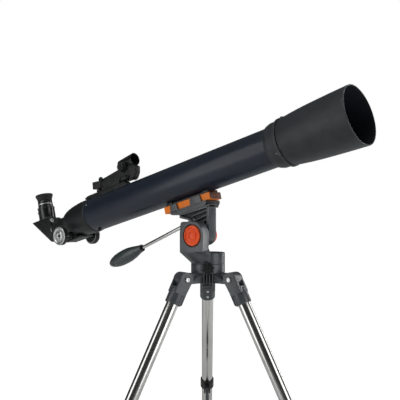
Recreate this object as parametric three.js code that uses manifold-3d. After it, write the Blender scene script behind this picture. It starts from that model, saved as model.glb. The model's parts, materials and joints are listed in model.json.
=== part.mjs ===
// Refractor telescope on a folding tripod with an altitude-azimuth head.
// Millimetres, +Z up, +X where the tube points. The origin is the centre of the floor area the object covers.
import * as THREE from 'three';
import { mergeVertices } from 'three/addons/utils/BufferGeometryUtils.js';
import { ConvexGeometry } from 'three/addons/geometries/ConvexGeometry.js';
import Module from 'manifold-3d';

const wasm = await Module();
wasm.setup();

// ---- driving dimensions ----
const GAP = 0.3;                // running gap between neighbours
const SEAM_HEIGHT = 700;        // floor to the seam between the hub and the turning head
const HUB_RADIUS = 36.4;
const HUB_BOTTOM = -19.5;       // heights below are measured from the seam
const ARM_BOTTOM = -41;
const LEG_PIVOT_RADIUS = 60;
const LEG_PIVOT_HEIGHT = -31.8;
const LEG_SPREAD = 26.4;        // degrees from vertical
const LEG_OFFSET = 1.5;         // leg tube axis outside its pivot
const LEG_TUBE_RADIUS = 13;
const LOWER_TUBE_RADIUS = 9.5;
const LEG_AZIMUTHS = { front: 9.24, left: 129.24, right: 249.24 };
const CHEEK_INNER = 10.3;       // half gap between the clevis cheeks of a leg socket
const CHEEK_OUTER = 17;
const SOCKET_LENGTH = 56.5;
const UPPER_LEG_END = 425;      // distances along a leg from its pivot
const FOOT_TOP = 704;
const LOCK_HEIGHT = -UPPER_LEG_END - 10;
const BRACE_REACH = 300;        // leg pivot to brace pivot, along the leg
const BRACE_PIVOT_X = -25;      // brace pivot inside the leg
const BRACE_ANGLE = 30;         // degrees that a spreader arm rises outwards
const BRACE_HUB_RADIUS = 28;
const PIVOT_HEIGHT = 60.3;      // altitude axis above the seam
const HEAD_TOP = 24;            // top of the turning disc
const BOSS_OUTER = -54;         // outer face of the upright, along Y
const BOSS_INNER = -23.4;
const ARM_OUTER = 1.6;          // far face of the cradle arm, along Y
const CAP_RADIUS = 22.4;
const HANDLE_SLOPE = 22.2;      // degrees that the handle falls towards the rear
const HANDLE_ROOT = [-20, -10.6, 95.6];  // where the handle screws into the cradle arm
const TUBE_PITCH = 14.35;       // degrees that the tube points up at rest
const TUBE_AXIS_HEIGHT = 195.8; // tube axis above the seam, over the azimuth axis
const TUBE_RADIUS = 41;
const TUBE_WALL = 1.7;
const TUBE_REAR = -396;         // stations along the tube from the azimuth axis
const TUBE_FRONT = 203;
const CELL_FRONT = -366;        // front edge of the rear cell, which sleeves over the tube
const CELL_RADIUS = 42.7;
const RIM_STATION = 368.4;
const RIM_RADIUS = 59.5;
const DRAWTUBE_RADIUS = 23;
const PINION_STATION = -448;
const PINION_DROP = -34;
const EYEPIECE_STATION = -551;
const SCREW_HEIGHT = 58;        // eyepiece thumb screw above the tube axis
const BAR_REAR = -126;
const BAR_FRONT = 8;
const BAR_BOTTOM = -61.2;
const BAR_HALF_WIDTH = 20;
const FINDER_TUBE = [-228, 0, 93.3];
const CLAMP_SCREW = [-17, 0, -67.2];
const SWITCH_AT = [-236, 0, 83];
const FINDER_WHEEL = [-240, 0, 51.2];  // underside of the adjusting wheel

const rad = THREE.MathUtils.degToRad;

// ---- solids ----
function signedVolume(position, index) {
  const a = new THREE.Vector3();
  const b = new THREE.Vector3();
  const c = new THREE.Vector3();
  let sum = 0;
  for (let i = 0; i < index.length; i += 3) {
    a.fromArray(position, index[i] * 3);
    b.fromArray(position, index[i + 1] * 3);
    c.fromArray(position, index[i + 2] * 3);
    sum += a.dot(b.cross(c));
  }
  return sum / 6;
}

function solid(geometry) {
  const bare = geometry.clone();
  bare.deleteAttribute('normal');
  bare.deleteAttribute('uv');
  const merged = mergeVertices(bare, 1e-4);
  const position = merged.attributes.position.array;
  const kept = [];
  const index = merged.index.array;
  for (let i = 0; i < index.length; i += 3) {
    const [a, b, c] = [index[i], index[i + 1], index[i + 2]];
    if (a !== b && b !== c && c !== a) {
      kept.push(a, b, c);
    }
  }
  const triVerts = Uint32Array.from(kept);
  if (signedVolume(position, kept) < 0) {
    triVerts.reverse();
  }
  return new wasm.Manifold(new wasm.Mesh({ numProp: 3, vertProperties: Float32Array.from(position), triVerts }));
}

function join(first, ...others) {
  return others.reduce((whole, other) => whole.add(other), first);
}

function cut(first, ...others) {
  return others.reduce((whole, other) => whole.subtract(other), first);
}

function block(x0, x1, y0, y1, z0, z1) {
  const box = new THREE.BoxGeometry(x1 - x0, y1 - y0, z1 - z0);
  return solid(box.translate((x0 + x1) / 2, (y0 + y1) / 2, (z0 + z1) / 2));
}

function turned(profile, segments, axis = 'z', centre = [0, 0, 0]) {
  const lathe = new THREE.LatheGeometry(profile.map(([r, h]) => new THREE.Vector2(r, h)), segments);
  if (axis === 'z') {
    lathe.rotateX(Math.PI / 2);
  }
  if (axis === 'x') {
    lathe.rotateZ(-Math.PI / 2);
  }
  return solid(lathe.translate(...centre));
}

function rod(radius, from, to, segments, axis = 'z', centre = [0, 0, 0]) {
  return turned([[0, from], [radius, from], [radius, to], [0, to]], segments, axis, centre);
}

function tube(outer, inner, from, to, segments, axis = 'z', centre = [0, 0, 0]) {
  const profile = [[inner, from], [outer, from], [outer, to], [inner, to], [inner, from]];
  return turned(profile, segments, axis, centre);
}

function sidePlate(outline, y0, y1) {
  const shape = new THREE.Shape(outline.map(([x, z]) => new THREE.Vector2(x, z)));
  const plate = new THREE.ExtrudeGeometry(shape, { depth: y1 - y0, bevelEnabled: false });
  return solid(plate.rotateX(Math.PI / 2).translate(0, y1, 0));
}

function flatPlate(outline, z0, z1) {
  const shape = new THREE.Shape(outline.map(([x, y]) => new THREE.Vector2(x, y)));
  const plate = new THREE.ExtrudeGeometry(shape, { depth: z1 - z0, bevelEnabled: false });
  return solid(plate.translate(0, 0, z0));
}

function hull(points) {
  return solid(new ConvexGeometry(points.map((p) => new THREE.Vector3(...p))));
}

function arc(cx, cz, radius, fromDegrees, toDegrees, steps) {
  return Array.from({ length: steps + 1 }, (_, i) => {
    const a = rad(fromDegrees + (toDegrees - fromDegrees) * i / steps);
    return [cx + radius * Math.cos(a), cz + radius * Math.sin(a)];
  });
}

// A round knob with lobes, turned about its own axis.
function lobedKnob(core, lobe, lobes, from, to, axis, centre) {
  let knob = rod(core, from, to, 12, axis, centre);
  for (let i = 0; i < lobes; i += 1) {
    const a = 2 * Math.PI * i / lobes;
    const [u, v] = [core * Math.cos(a), core * Math.sin(a)];
    const place = { x: [0, u, v], y: [u, 0, v], z: [u, v, 0] }[axis];
    knob = knob.add(rod(lobe, from, to, 6, axis, place.map((value, k) => value + centre[k])));
  }
  return knob;
}

// ---- materials and nodes ----
const finishes = {
  tube_paint: { color: 0x2a323e, roughness: 0.25, metalness: 0.1 },
  black_plastic: { color: 0x15171a, roughness: 0.45, metalness: 0 },
  hood_plastic: { color: 0x32373a, roughness: 0.5, metalness: 0 },
  mount_plastic: { color: 0x464b50, roughness: 0.55, metalness: 0 },
  orange_bar: { color: 0xe67314, roughness: 0.5, metalness: 0.1 },
  cap_orange: { color: 0xf05f32, roughness: 0.4, metalness: 0 },
  grip_grey: { color: 0x3c4648, roughness: 0.45, metalness: 0 },
  chrome: { color: 0xd8d8d4, roughness: 0.12, metalness: 1 },
  bolt_steel: { color: 0xc0c2c4, roughness: 0.3, metalness: 1 },
  rubber: { color: 0x101112, roughness: 0.85, metalness: 0 },
  glass: { color: 0x9fb4c8, roughness: 0.05, metalness: 0 },
};

function node(parent, name, body, finish) {
  const mesh = body.getMesh();
  const geometry = new THREE.BufferGeometry();
  geometry.setAttribute('position', new THREE.BufferAttribute(new Float32Array(mesh.vertProperties), 3));
  geometry.setIndex(new THREE.BufferAttribute(new Uint32Array(mesh.triVerts), 1));
  geometry.computeVertexNormals();
  const part = new THREE.Mesh(geometry, new THREE.MeshStandardMaterial(finishes[finish]));
  part.name = name;
  parent.add(part);
}

function group(parent, position, rotation = [0, 0, 0]) {
  const child = new THREE.Group();
  child.position.set(...position);
  child.rotation.set(...rotation.map(rad));
  parent.add(child);
  return child;
}

// ---- tripod ----
function tripodHub(parent) {
  let hub = join(rod(HUB_RADIUS, HUB_BOTTOM, -GAP, 32), rod(24, ARM_BOTTOM, HUB_BOTTOM + 1, 20));
  Object.values(LEG_AZIMUTHS).forEach((azimuth) => {
    const arm = join(
      block(12, LEG_PIVOT_RADIUS - 10, -10, 10, ARM_BOTTOM, HUB_BOTTOM + 0.3),
      block(40, LEG_PIVOT_RADIUS, -10, 10, ARM_BOTTOM, LEG_PIVOT_HEIGHT),
      rod(11, -10, 10, 16, 'y', [LEG_PIVOT_RADIUS, 0, LEG_PIVOT_HEIGHT]),
    );
    const drilled = cut(arm, rod(3.4, -12, 12, 12, 'y', [LEG_PIVOT_RADIUS, 0, LEG_PIVOT_HEIGHT]));
    hub = hub.add(drilled.rotate([0, 0, azimuth]));
    const ribs = [-5, 5].map((y) => hull([
      [20, y - 1.3, ARM_BOTTOM], [20, y + 1.3, ARM_BOTTOM], [29, y - 1.3, ARM_BOTTOM], [29, y + 1.3, ARM_BOTTOM],
      [20, y - 1.3, HUB_BOTTOM + 1], [20, y + 1.3, HUB_BOTTOM + 1],
      [35, y - 1.3, HUB_BOTTOM + 1], [35, y + 1.3, HUB_BOTTOM + 1],
    ]).rotate([0, 0, azimuth + 60]));
    hub = join(hub, ...ribs);
  });
  const knobBore = rod(3.6, 19, 40, 12, 'x', [0, 0, -9]).rotate([0, 0, LEG_AZIMUTHS.right + 60]);
  node(parent, 'tripod_hub', cut(hub, rod(5.4, -50, 5, 16), knobBore), 'mount_plastic');
}

function legSocket(parent, name) {
  const cheek = (y0, y1) => sidePlate([
    ...arc(0, 0, 15, 165, -5, 8), [LEG_OFFSET + 13, -34], [LEG_OFFSET - 13, -34],
  ], y0, y1);
  const sleeve = rod(17, -SOCKET_LENGTH, -20, 20, 'z', [LEG_OFFSET, 0, 0]);
  const hoodOutline = [...arc(0, 0, 15.5, -62, 74, 7), ...arc(0, 0, 12.4, 74, -62, 7)];
  const hood = sidePlate(hoodOutline, -CHEEK_OUTER, CHEEK_OUTER);
  const shell = join(cheek(-CHEEK_OUTER, -CHEEK_INNER), cheek(CHEEK_INNER, CHEEK_OUTER), sleeve, hood);
  const body = cut(
    shell,
    rod(LEG_TUBE_RADIUS + GAP, -70, -24, 16, 'z', [LEG_OFFSET, 0, 0]),
    rod(3.4, -20, 20, 10, 'y'),
    block(-30, 12.4, -CHEEK_INNER, CHEEK_INNER, -19.8, 8),
  );
  node(parent, `leg_socket_${name}`, body, 'mount_plastic');
  const bolt = join(
    rod(3, -CHEEK_OUTER - 1, CHEEK_OUTER + 1, 10, 'y'),
    rod(5, CHEEK_OUTER + GAP, CHEEK_OUTER + 3.6, 10, 'y'),
    rod(5, -CHEEK_OUTER - 3.6, -CHEEK_OUTER - GAP, 6, 'y'),
  );
  node(parent, `leg_pivot_bolt_${name}`, bolt, 'bolt_steel');
}

// The bracket on the upper leg whose ears straddle the end of a spreader arm.
function braceBracket() {
  const ears = [[-7.5, -4.3], [4.3, 7.5]].map(([y0, y1]) => (
    block(BRACE_PIVOT_X - 7, LEG_OFFSET - 12, y0, y1, -BRACE_REACH - 9, -BRACE_REACH + 9)
  ));
  const ring = rod(16, -BRACE_REACH - 11, -BRACE_REACH + 11, 16, 'z', [LEG_OFFSET, 0, 0]);
  return cut(
    join(ring, ...ears),
    rod(LEG_TUBE_RADIUS - 0.5, -BRACE_REACH - 20, -BRACE_REACH + 20, 16, 'z', [LEG_OFFSET, 0, 0]),
    rod(2.4, -20, 20, 8, 'y', [BRACE_PIVOT_X, 0, -BRACE_REACH]),
  );
}

function legTubes(parent, name) {
  const at = [LEG_OFFSET, 0, 0];
  const upper = tube(LEG_TUBE_RADIUS, LEG_TUBE_RADIUS - 1.2, -UPPER_LEG_END, -24.6, 16, 'z', at);
  node(parent, `upper_leg_${name}`, join(upper, braceBracket()), 'chrome');
  const lower = tube(LOWER_TUBE_RADIUS, LOWER_TUBE_RADIUS - 1.2, -FOOT_TOP - 14, -66, 16, 'z', at);
  node(parent, `lower_leg_${name}`, lower, 'chrome');
  const clamp = cut(
    join(
      rod(17, -UPPER_LEG_END - 22, -UPPER_LEG_END + 30, 20, 'z', at),
      rod(9, LEG_OFFSET + 14, LEG_OFFSET + 22, 12, 'x', [0, 0, LOCK_HEIGHT]),
    ),
    rod(LEG_TUBE_RADIUS + GAP, -UPPER_LEG_END - GAP, 0, 16, 'z', at),
    rod(LOWER_TUBE_RADIUS + GAP, -UPPER_LEG_END - 40, 0, 16, 'z', at),
    rod(3.4, LEG_OFFSET + LOWER_TUBE_RADIUS - 2, LEG_OFFSET + 30, 10, 'x', [0, 0, LOCK_HEIGHT]),
  );
  node(parent, `leg_clamp_${name}`, clamp, 'black_plastic');
}

function legLockKnob(parent, name) {
  const start = LEG_OFFSET + LOWER_TUBE_RADIUS + 0.8;
  const knob = join(
    rod(3, start, LEG_OFFSET + 26, 10, 'x', [0, 0, LOCK_HEIGHT]),
    lobedKnob(9.5, 3, 6, LEG_OFFSET + 22.6, LEG_OFFSET + 34, 'x', [0, 0, LOCK_HEIGHT]),
  );
  node(parent, `leg_lock_knob_${name}`, knob, 'black_plastic');
}

function foot(parent, name) {
  const tilt = rad(LEG_SPREAD);
  const sole = -(SEAM_HEIGHT + LEG_PIVOT_HEIGHT);
  const pad = rod(15, -770, -FOOT_TOP, 20, 'z', [LEG_OFFSET, 0, 0]);
  const socket = rod(LOWER_TUBE_RADIUS + GAP, -FOOT_TOP - 14 - GAP, 0, 16, 'z', [LEG_OFFSET, 0, 0]);
  const reach = -sole * Math.tan(tilt);
  const below = block(reach - 200, reach + 200, -100, 100, sole - 200, sole);
  node(parent, `foot_${name}`, cut(pad, socket, below.rotate([0, LEG_SPREAD, 0])), 'rubber');
}

// Radius and height of a spreader arm's outer pivot on its leg.
function bracePivot() {
  const s = Math.sin(rad(LEG_SPREAD));
  const c = Math.cos(rad(LEG_SPREAD));
  const radius = LEG_PIVOT_RADIUS + BRACE_REACH * s + BRACE_PIVOT_X * c;
  const height = LEG_PIVOT_HEIGHT - BRACE_REACH * c + BRACE_PIVOT_X * s;
  return [radius, height];
}

// Height of the spreader's inner pivots, from a straight arm that rises to its leg.
function spreaderHeight() {
  const [radius, height] = bracePivot();
  return height - (radius - BRACE_HUB_RADIUS) * Math.tan(rad(BRACE_ANGLE));
}

function spreaderArm(parent, name, azimuth) {
  const length = (bracePivot()[0] - BRACE_HUB_RADIUS) / Math.cos(rad(BRACE_ANGLE));
  const side = group(parent, [0, 0, 0], [0, 0, azimuth]);
  const arm = group(side, [BRACE_HUB_RADIUS, 0, spreaderHeight()], [0, -BRACE_ANGLE, 0]);
  const strip = join(
    block(0, length, -4, 4, -2, 2),
    rod(5, -4, 4, 10, 'y'),
    rod(4.5, -4, 4, 10, 'y', [length, 0, 0]),
    rod(2.1, -8.2, 8.2, 8, 'y'),
  );
  node(arm, `spreader_arm_${name}`, strip, 'mount_plastic');
}

function spreader(parent) {
  const level = group(parent, [0, 0, spreaderHeight()]);
  const pinHole = rod(2.4, -12, 12, 8, 'y', [BRACE_HUB_RADIUS, 0, 0]);
  let hub = rod(19, -12, 4, 20);
  Object.values(LEG_AZIMUTHS).forEach((azimuth) => {
    const forks = [[-8.4, -5.2], [5.2, 8.4]].map(([y0, y1]) => (
      cut(block(12, 34, y0, y1, -12, 6), pinHole).rotate([0, 0, azimuth])
    ));
    hub = join(hub, ...forks);
  });
  node(level, 'spreader_hub', cut(hub, rod(4.3, -20, 20, 16)), 'black_plastic');
  const holes = Object.values(LEG_AZIMUTHS).map((azimuth) => (
    rod(17, -30, 0, 20, 'z', [48, 0, 0]).rotate([0, 0, azimuth + 60])
  ));
  const corners = Object.values(LEG_AZIMUTHS).flatMap((azimuth) => [-24, 24].map((turn) => {
    const a = rad(azimuth + 60 + turn);
    return [78 * Math.cos(a), 78 * Math.sin(a)];
  }));
  const tray = cut(flatPlate(corners, -16.5, -12.4), ...holes, rod(4.3, -30, 0, 16));
  node(level, 'accessory_tray', tray, 'black_plastic');
  const screw = join(lobedKnob(14, 3.5, 6, -30, -17, 'z', [0, 0, 0]), rod(3.9, -20, 2, 16));
  node(level, 'tray_knob', screw, 'black_plastic');
}

function tripod(parent) {
  tripodHub(parent);
  Object.entries(LEG_AZIMUTHS).forEach(([name, azimuth]) => {
    const side = group(parent, [0, 0, 0], [0, 0, azimuth]);
    const leg = group(side, [LEG_PIVOT_RADIUS, 0, LEG_PIVOT_HEIGHT], [0, -LEG_SPREAD, 0]);
    legSocket(leg, name);
    legTubes(leg, name);
    legLockKnob(leg, name);
    foot(leg, name);
    spreaderArm(parent, name, azimuth);
  });
  spreader(parent);
}

// ---- mount head ----
function azimuthLockKnob(parent) {
  const turn = group(parent, [0, 0, -9], [0, 0, LEG_AZIMUTHS.right + 60]);
  const knob = join(rod(3.2, 20, 44, 12, 'x'), lobedKnob(9, 3.2, 6, 38.2, 49, 'x', [0, 0, 0]));
  node(turn, 'azimuth_lock_knob', knob, 'black_plastic');
}

function azimuthBase(parent) {
  const disc = turned([[0, GAP], [HUB_RADIUS, GAP], [HUB_RADIUS, 22.5], [34.9, HEAD_TOP], [0, HEAD_TOP]], 32);
  const outline = [
    [28, 20], ...arc(0, PIVOT_HEIGHT, 30, -10, 92, 8), [-25, 89], [-31, 85], [-34.4, 66], [-34.4, 24],
  ];
  const boss = outline.flatMap(([x, z]) => [[x, BOSS_OUTER, z], [x * (x > 0 ? 0.74 : 0.92), BOSS_INNER, z]]);
  const foot = [1.5, 22].flatMap((z) => [
    ...arc(0, 0, HUB_RADIUS - 0.1, -143, -42, 8).map(([x, y]) => [x, y, z]),
  ]);
  const upright = join(hull(boss), hull([
    ...foot,
    ...[-34.4, 28].flatMap((x) => [[x, BOSS_OUTER, 24.5], [x, BOSS_OUTER, 34]]),
    ...[-31, 20].flatMap((x) => [[x, BOSS_INNER, 24.5], [x, BOSS_INNER, 40]]),
  ]));
  const bored = cut(
    join(disc, upright),
    rod(CAP_RADIUS + 1.4, BOSS_OUTER - 1, BOSS_OUTER + 3.6, 28, 'y', [0, 0, PIVOT_HEIGHT]),
    rod(10.5, BOSS_OUTER - 1, BOSS_OUTER + 9.6, 16, 'y', [0, 0, PIVOT_HEIGHT]),
    rod(4.3, -70, 0, 12, 'y', [0, 0, PIVOT_HEIGHT]),
    rod(5.4, -5, 12, 12),
  );
  node(parent, 'azimuth_base', bored, 'mount_plastic');
  node(parent, 'azimuth_bolt', join(rod(5, -46, 11, 12), rod(9, -48, ARM_BOTTOM - GAP, 6)), 'bolt_steel');
}

function panHandle(parent) {
  const handle = group(parent, HANDLE_ROOT, [0, 180 - HANDLE_SLOPE, 0]);
  node(handle, 'handle_rod', rod(4, 0, 205, 12, 'x'), 'chrome');
  const profile = [
    [4.3, 179], [8.2, 179], [9.9, 191], [12.5, 201], [14.6, 211], [16.6, 224], [17.1, 238],
    [16.6, 252], [14, 271], [9.2, 284], [4, 291], [0, 292.6], [0, 205.3], [4.3, 205.3], [4.3, 179],
  ];
  node(handle, 'handle_grip', turned(profile, 20, 'x'), 'grip_grey');
}

function altitudeParts(parent) {
  const axis = group(parent, [0, 0, PIVOT_HEIGHT]);
  const bolt = join(
    rod(4, BOSS_OUTER + 4, ARM_OUTER + 5, 12, 'y'),
    rod(9.5, BOSS_OUTER + 4, BOSS_OUTER + 9.3, 6, 'y'),
    rod(7.5, ARM_OUTER + GAP, ARM_OUTER + 5.5, 6, 'y'),
  );
  node(axis, 'altitude_bolt', bolt, 'bolt_steel');
  const near = turned([
    [0, BOSS_OUTER + 3.2], [CAP_RADIUS, BOSS_OUTER + 3.2], [CAP_RADIUS, BOSS_OUTER + 0.6],
    [CAP_RADIUS - 2, BOSS_OUTER - 1], [12, BOSS_OUTER - 1], [11, BOSS_OUTER], [9, BOSS_OUTER], [8, BOSS_OUTER - 1],
    [0, BOSS_OUTER - 1],
  ], 24, 'y');
  node(axis, 'altitude_cap_right', near, 'cap_orange');
  const cup = [
    [11, ARM_OUTER + GAP], [18.5, ARM_OUTER + GAP], [18.5, ARM_OUTER + 7], [16.5, ARM_OUTER + 8.6],
    [0, ARM_OUTER + 8.6], [0, ARM_OUTER + 6], [11, ARM_OUTER + 6], [11, ARM_OUTER + GAP],
  ];
  node(axis, 'altitude_cap_left', turned(cup, 24, 'y'), 'cap_orange');
}

// The tube saddle, in the tube's own frame.
function saddle() {
  const base = sidePlate([
    [-106, -67], [-82, -73.5], [4, -73.5], [4, BAR_BOTTOM - GAP], [-106, BAR_BOTTOM - GAP],
  ], -24.5, 24.5);
  const fingers = [-1, 1].flatMap((side) => {
    const [y0, y1] = side > 0 ? [BAR_HALF_WIDTH + GAP, 24.5] : [-24.5, -BAR_HALF_WIDTH - GAP];
    return [[-106, -82], [-48, -14]].map(([x0, x1]) => sidePlate(
      [[x0, -66], [x1, -66], [x1 - 3, -46.5], [x0 + 3, -46.5]], y0, y1,
    ));
  });
  return cut(join(base, ...fingers), rod(3.3, 15, 30, 10, 'y', CLAMP_SCREW));
}

function altitudeCradle(parent) {
  const arm = sidePlate([
    ...arc(0, PIVOT_HEIGHT, 21.4, -180, 0, 12), [21.4, 126], [-62, 107], [-62, 97], [-38, 92.5], [-24, 80],
    [-21.4, 70],
  ], BOSS_INNER + 0.6, ARM_OUTER);
  const clamp = group(parent, [0, 0, TUBE_AXIS_HEIGHT], [0, -TUBE_PITCH, 0]);
  const seat = saddle().rotate([0, -TUBE_PITCH, 0]).translate([0, 0, TUBE_AXIS_HEIGHT]);
  const collar = rod(7.5, 0, 22, 16, 'x').rotate([0, 180 - HANDLE_SLOPE, 0]).translate(HANDLE_ROOT);
  const body = cut(
    join(arm, seat, collar),
    rod(4.3, -40, 20, 12, 'y', [0, 0, PIVOT_HEIGHT]),
    rod(4.3, -GAP, 80, 12, 'x').rotate([0, 180 - HANDLE_SLOPE, 0]).translate(HANDLE_ROOT),
  );
  node(parent, 'altitude_cradle', body, 'mount_plastic');
  const knob = join(rod(3, 16, 28, 10, 'y', CLAMP_SCREW), lobedKnob(6, 2, 5, 25.2, 31, 'y', CLAMP_SCREW));
  node(clamp, 'dovetail_knob', knob, 'black_plastic');
}

// ---- optical tube: X runs along the tube axis, Z away from the cradle ----
function opticalTube(parent) {
  const inner = TUBE_RADIUS - TUBE_WALL;
  node(parent, 'main_tube', tube(TUBE_RADIUS, inner, TUBE_REAR, TUBE_FRONT, 28, 'x'), 'tube_paint');
  const cell = [
    [41.3, 178], [44.5, 178], [46.8, 183], [47.6, 190], [47.6, 205], [50.6, 205.5], [50.6, 211], [46, 211],
    [46, 216], [35.5, 216], [35.5, 213.5], [33, 213.5], [33, 203.3], [41.3, 203.3], [41.3, 178],
  ];
  const lugs = [90, 210, 330].map((turn) => (
    block(205.5, 211, -5.5, 5.5, 46, 53).rotate([turn - 90, 0, 0])
  ));
  node(parent, 'lens_cell', join(turned(cell, 28, 'x'), ...lugs), 'hood_plastic');
  const lens = turned([[0, 200.2], [12, 200.8], [24, 202.4], [32.6, 204.6], [32.6, 208.5], [24, 210.6], [12, 212],
    [0, 212.5]], 20, 'x');
  node(parent, 'objective_lens', lens, 'glass');
  const outside = [[211.4, 48.4], [250, 52.9], [290, 56.2], [340, 58.8], [RIM_STATION, RIM_RADIUS]];
  const wall = 2.4;
  const hood = [
    ...outside.map(([s, r]) => [r, s]),
    [RIM_RADIUS - wall, RIM_STATION], [56.2 - wall, 290], [46.3, 211.4],
    [outside[0][1], outside[0][0]],
  ];
  node(parent, 'dew_shield', turned(hood, 32, 'x'), 'hood_plastic');
}

function dovetailBar(parent) {
  const slab = block(BAR_REAR, BAR_FRONT, -BAR_HALF_WIDTH, BAR_HALF_WIDTH, BAR_BOTTOM, -43.5);
  const seat = block(BAR_REAR + 4, BAR_FRONT - 4, -14, 14, -46, -34);
  const bed = rod(TUBE_RADIUS + GAP, BAR_REAR - 5, BAR_FRONT + 5, 28, 'x');
  node(parent, 'dovetail_bar', cut(join(slab, seat), bed), 'orange_bar');
}

function rearCell(parent) {
  const inner = TUBE_RADIUS + GAP;
  const bell = turned([
    [inner, CELL_FRONT], [CELL_RADIUS, CELL_FRONT], [42.4, -396], [40.2, -420], [36.8, -440], [32, -454], [27, -463],
    [24.6, -466], [DRAWTUBE_RADIUS + GAP, -466], [DRAWTUBE_RADIUS + GAP, -452], [34, -438], [38, -420],
    [38, TUBE_REAR - GAP], [inner, TUBE_REAR - GAP], [inner, CELL_FRONT],
  ], 28, 'x');
  const cheeks = [-1, 1].map((side) => {
    const [y0, y1] = side > 0 ? [9, 19] : [-19, -9];
    return block(PINION_STATION - 28, PINION_STATION + 15, y0, y1, -45.5, -20);
  });
  const sole = block(PINION_STATION - 28, PINION_STATION + 36, -19, 19, -45.5, -41.2);
  const body = cut(
    join(bell, ...cheeks, sole),
    rod(DRAWTUBE_RADIUS + GAP, -500, -430, 20, 'x'),
    block(-500, -400, -4.6, 4.6, -28.6, 0),
    rod(3.3, -40, 40, 12, 'y', [PINION_STATION, 0, PINION_DROP]),
    rod(7, -8.7, 8.7, 16, 'y', [PINION_STATION, 0, PINION_DROP]),
  );
  node(parent, 'rear_cell', body, 'black_plastic');
}

function focuser(parent) {
  const barrel = turned([
    [19.5, -514], [24.6, -514], [24.6, -502], [DRAWTUBE_RADIUS, -501], [DRAWTUBE_RADIUS, -336], [20.5, -336],
    [20.5, -500], [19.5, -501], [19.5, -514],
  ], 20, 'x');
  const rack = block(-498, -338, -4, 4, -27.6, -21.5);
  const screwHole = rod(3, 15, 30, 10).rotate([45, 0, 0]).translate([-508, 0, 0]);
  node(parent, 'drawtube', cut(join(barrel, rack), screwHole), 'black_plastic');
  const axis = [PINION_STATION, 0, PINION_DROP];
  node(parent, 'focus_shaft', join(rod(3, -53, 53, 12, 'y', axis), rod(6.1, -5, 5, 12, 'y', axis)), 'bolt_steel');
  [['right', -1], ['left', 1]].forEach(([name, side]) => {
    const profile = [
      [3.3, 40], [9, 40], [9, 46], [23.1, 46], [23.1, 57], [21, 59], [4, 59], [4, 53.4], [3.3, 53.4], [3.3, 40],
    ];
    const knob = turned(profile.map(([r, y]) => [r, side * y]), 20, 'y', axis);
    node(parent, `focus_knob_${name}`, knob, 'bolt_steel');
  });
}

function diagonal(parent) {
  const s = EYEPIECE_STATION;
  const housing = join(
    sidePlate([[s - 41, 34], [s + 25, -32], [s + 33, -32], [s + 33, 26], [s + 25, 34]], -20, 20),
    rod(22.5, 33, 66, 20, 'z', [s, 0, 0]),
    rod(21, s + 30, -514.6, 20, 'x'),
    rod(15.8, s + 30, -492, 16, 'x'),
  );
  const slanted = (body, station) => body.rotate([0, -45, 0]).translate([station, 0, 0]);
  const behindMirror = slanted(block(-100, 0, -50, 50, -100, 100), s + 0.5);
  const light = join(rod(13.4, -16, 40, 16, 'z', [s, 0, 0]), rod(13.4, s, -480, 16, 'x'));
  const body = cut(
    housing,
    cut(light, behindMirror),
    slanted(block(-3, 0, -17, 17, -19, 19), s + 1),
    rod(16.2, 38, 90, 16, 'z', [s, 0, 0]),
    rod(3, s - 40, s - 10, 10, 'x', [0, 0, SCREW_HEIGHT]),
  );
  node(parent, 'diagonal_housing', body, 'black_plastic');
  node(parent, 'diagonal_mirror', slanted(block(-2.7, -0.3, -16.7, 16.7, -18.7, 18.7), s + 1), 'glass');
  const screw = (from, to) => join(rod(2.6, from, to, 8, 'x'), rod(4, to, to + 9, 12, 'x'));
  const upper = screw(16.6, 24).rotate([0, 180, 0]).translate([s, 0, SCREW_HEIGHT]);
  node(parent, 'eyepiece_thumbscrew', upper, 'bolt_steel');
  const lower = screw(16.6, 27).rotate([0, -90, 0]).rotate([45, 0, 0]).translate([-508, 0, 0]);
  node(parent, 'drawtube_thumbscrew', lower, 'bolt_steel');
}

function eyepiece(parent) {
  const at = [EYEPIECE_STATION, 0, 0];
  const body = turned([
    [12.6, 42], [15.8, 42], [15.8, 66.4], [19.6, 66.4], [18.6, 78], [18.2, 84], [13.6, 84], [13.6, 86], [10.4, 86],
    [10.4, 80], [12.6, 80], [12.6, 42],
  ], 16, 'z', at);
  node(parent, 'eyepiece_body', body, 'black_plastic');
  const cup = turned([
    [14, 84.4], [18.9, 84.4], [20.4, 91], [23, 98], [22.4, 101], [20.8, 101], [14, 90.6], [14, 84.4],
  ], 20, 'z', at);
  node(parent, 'eyecup', cup, 'rubber');
  const lens = turned([[0, 80.6], [6, 80.9], [10.1, 82], [10.1, 83.6], [6, 85], [0, 85.4]], 16, 'z', at);
  node(parent, 'eye_lens', lens, 'glass');
}

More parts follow.
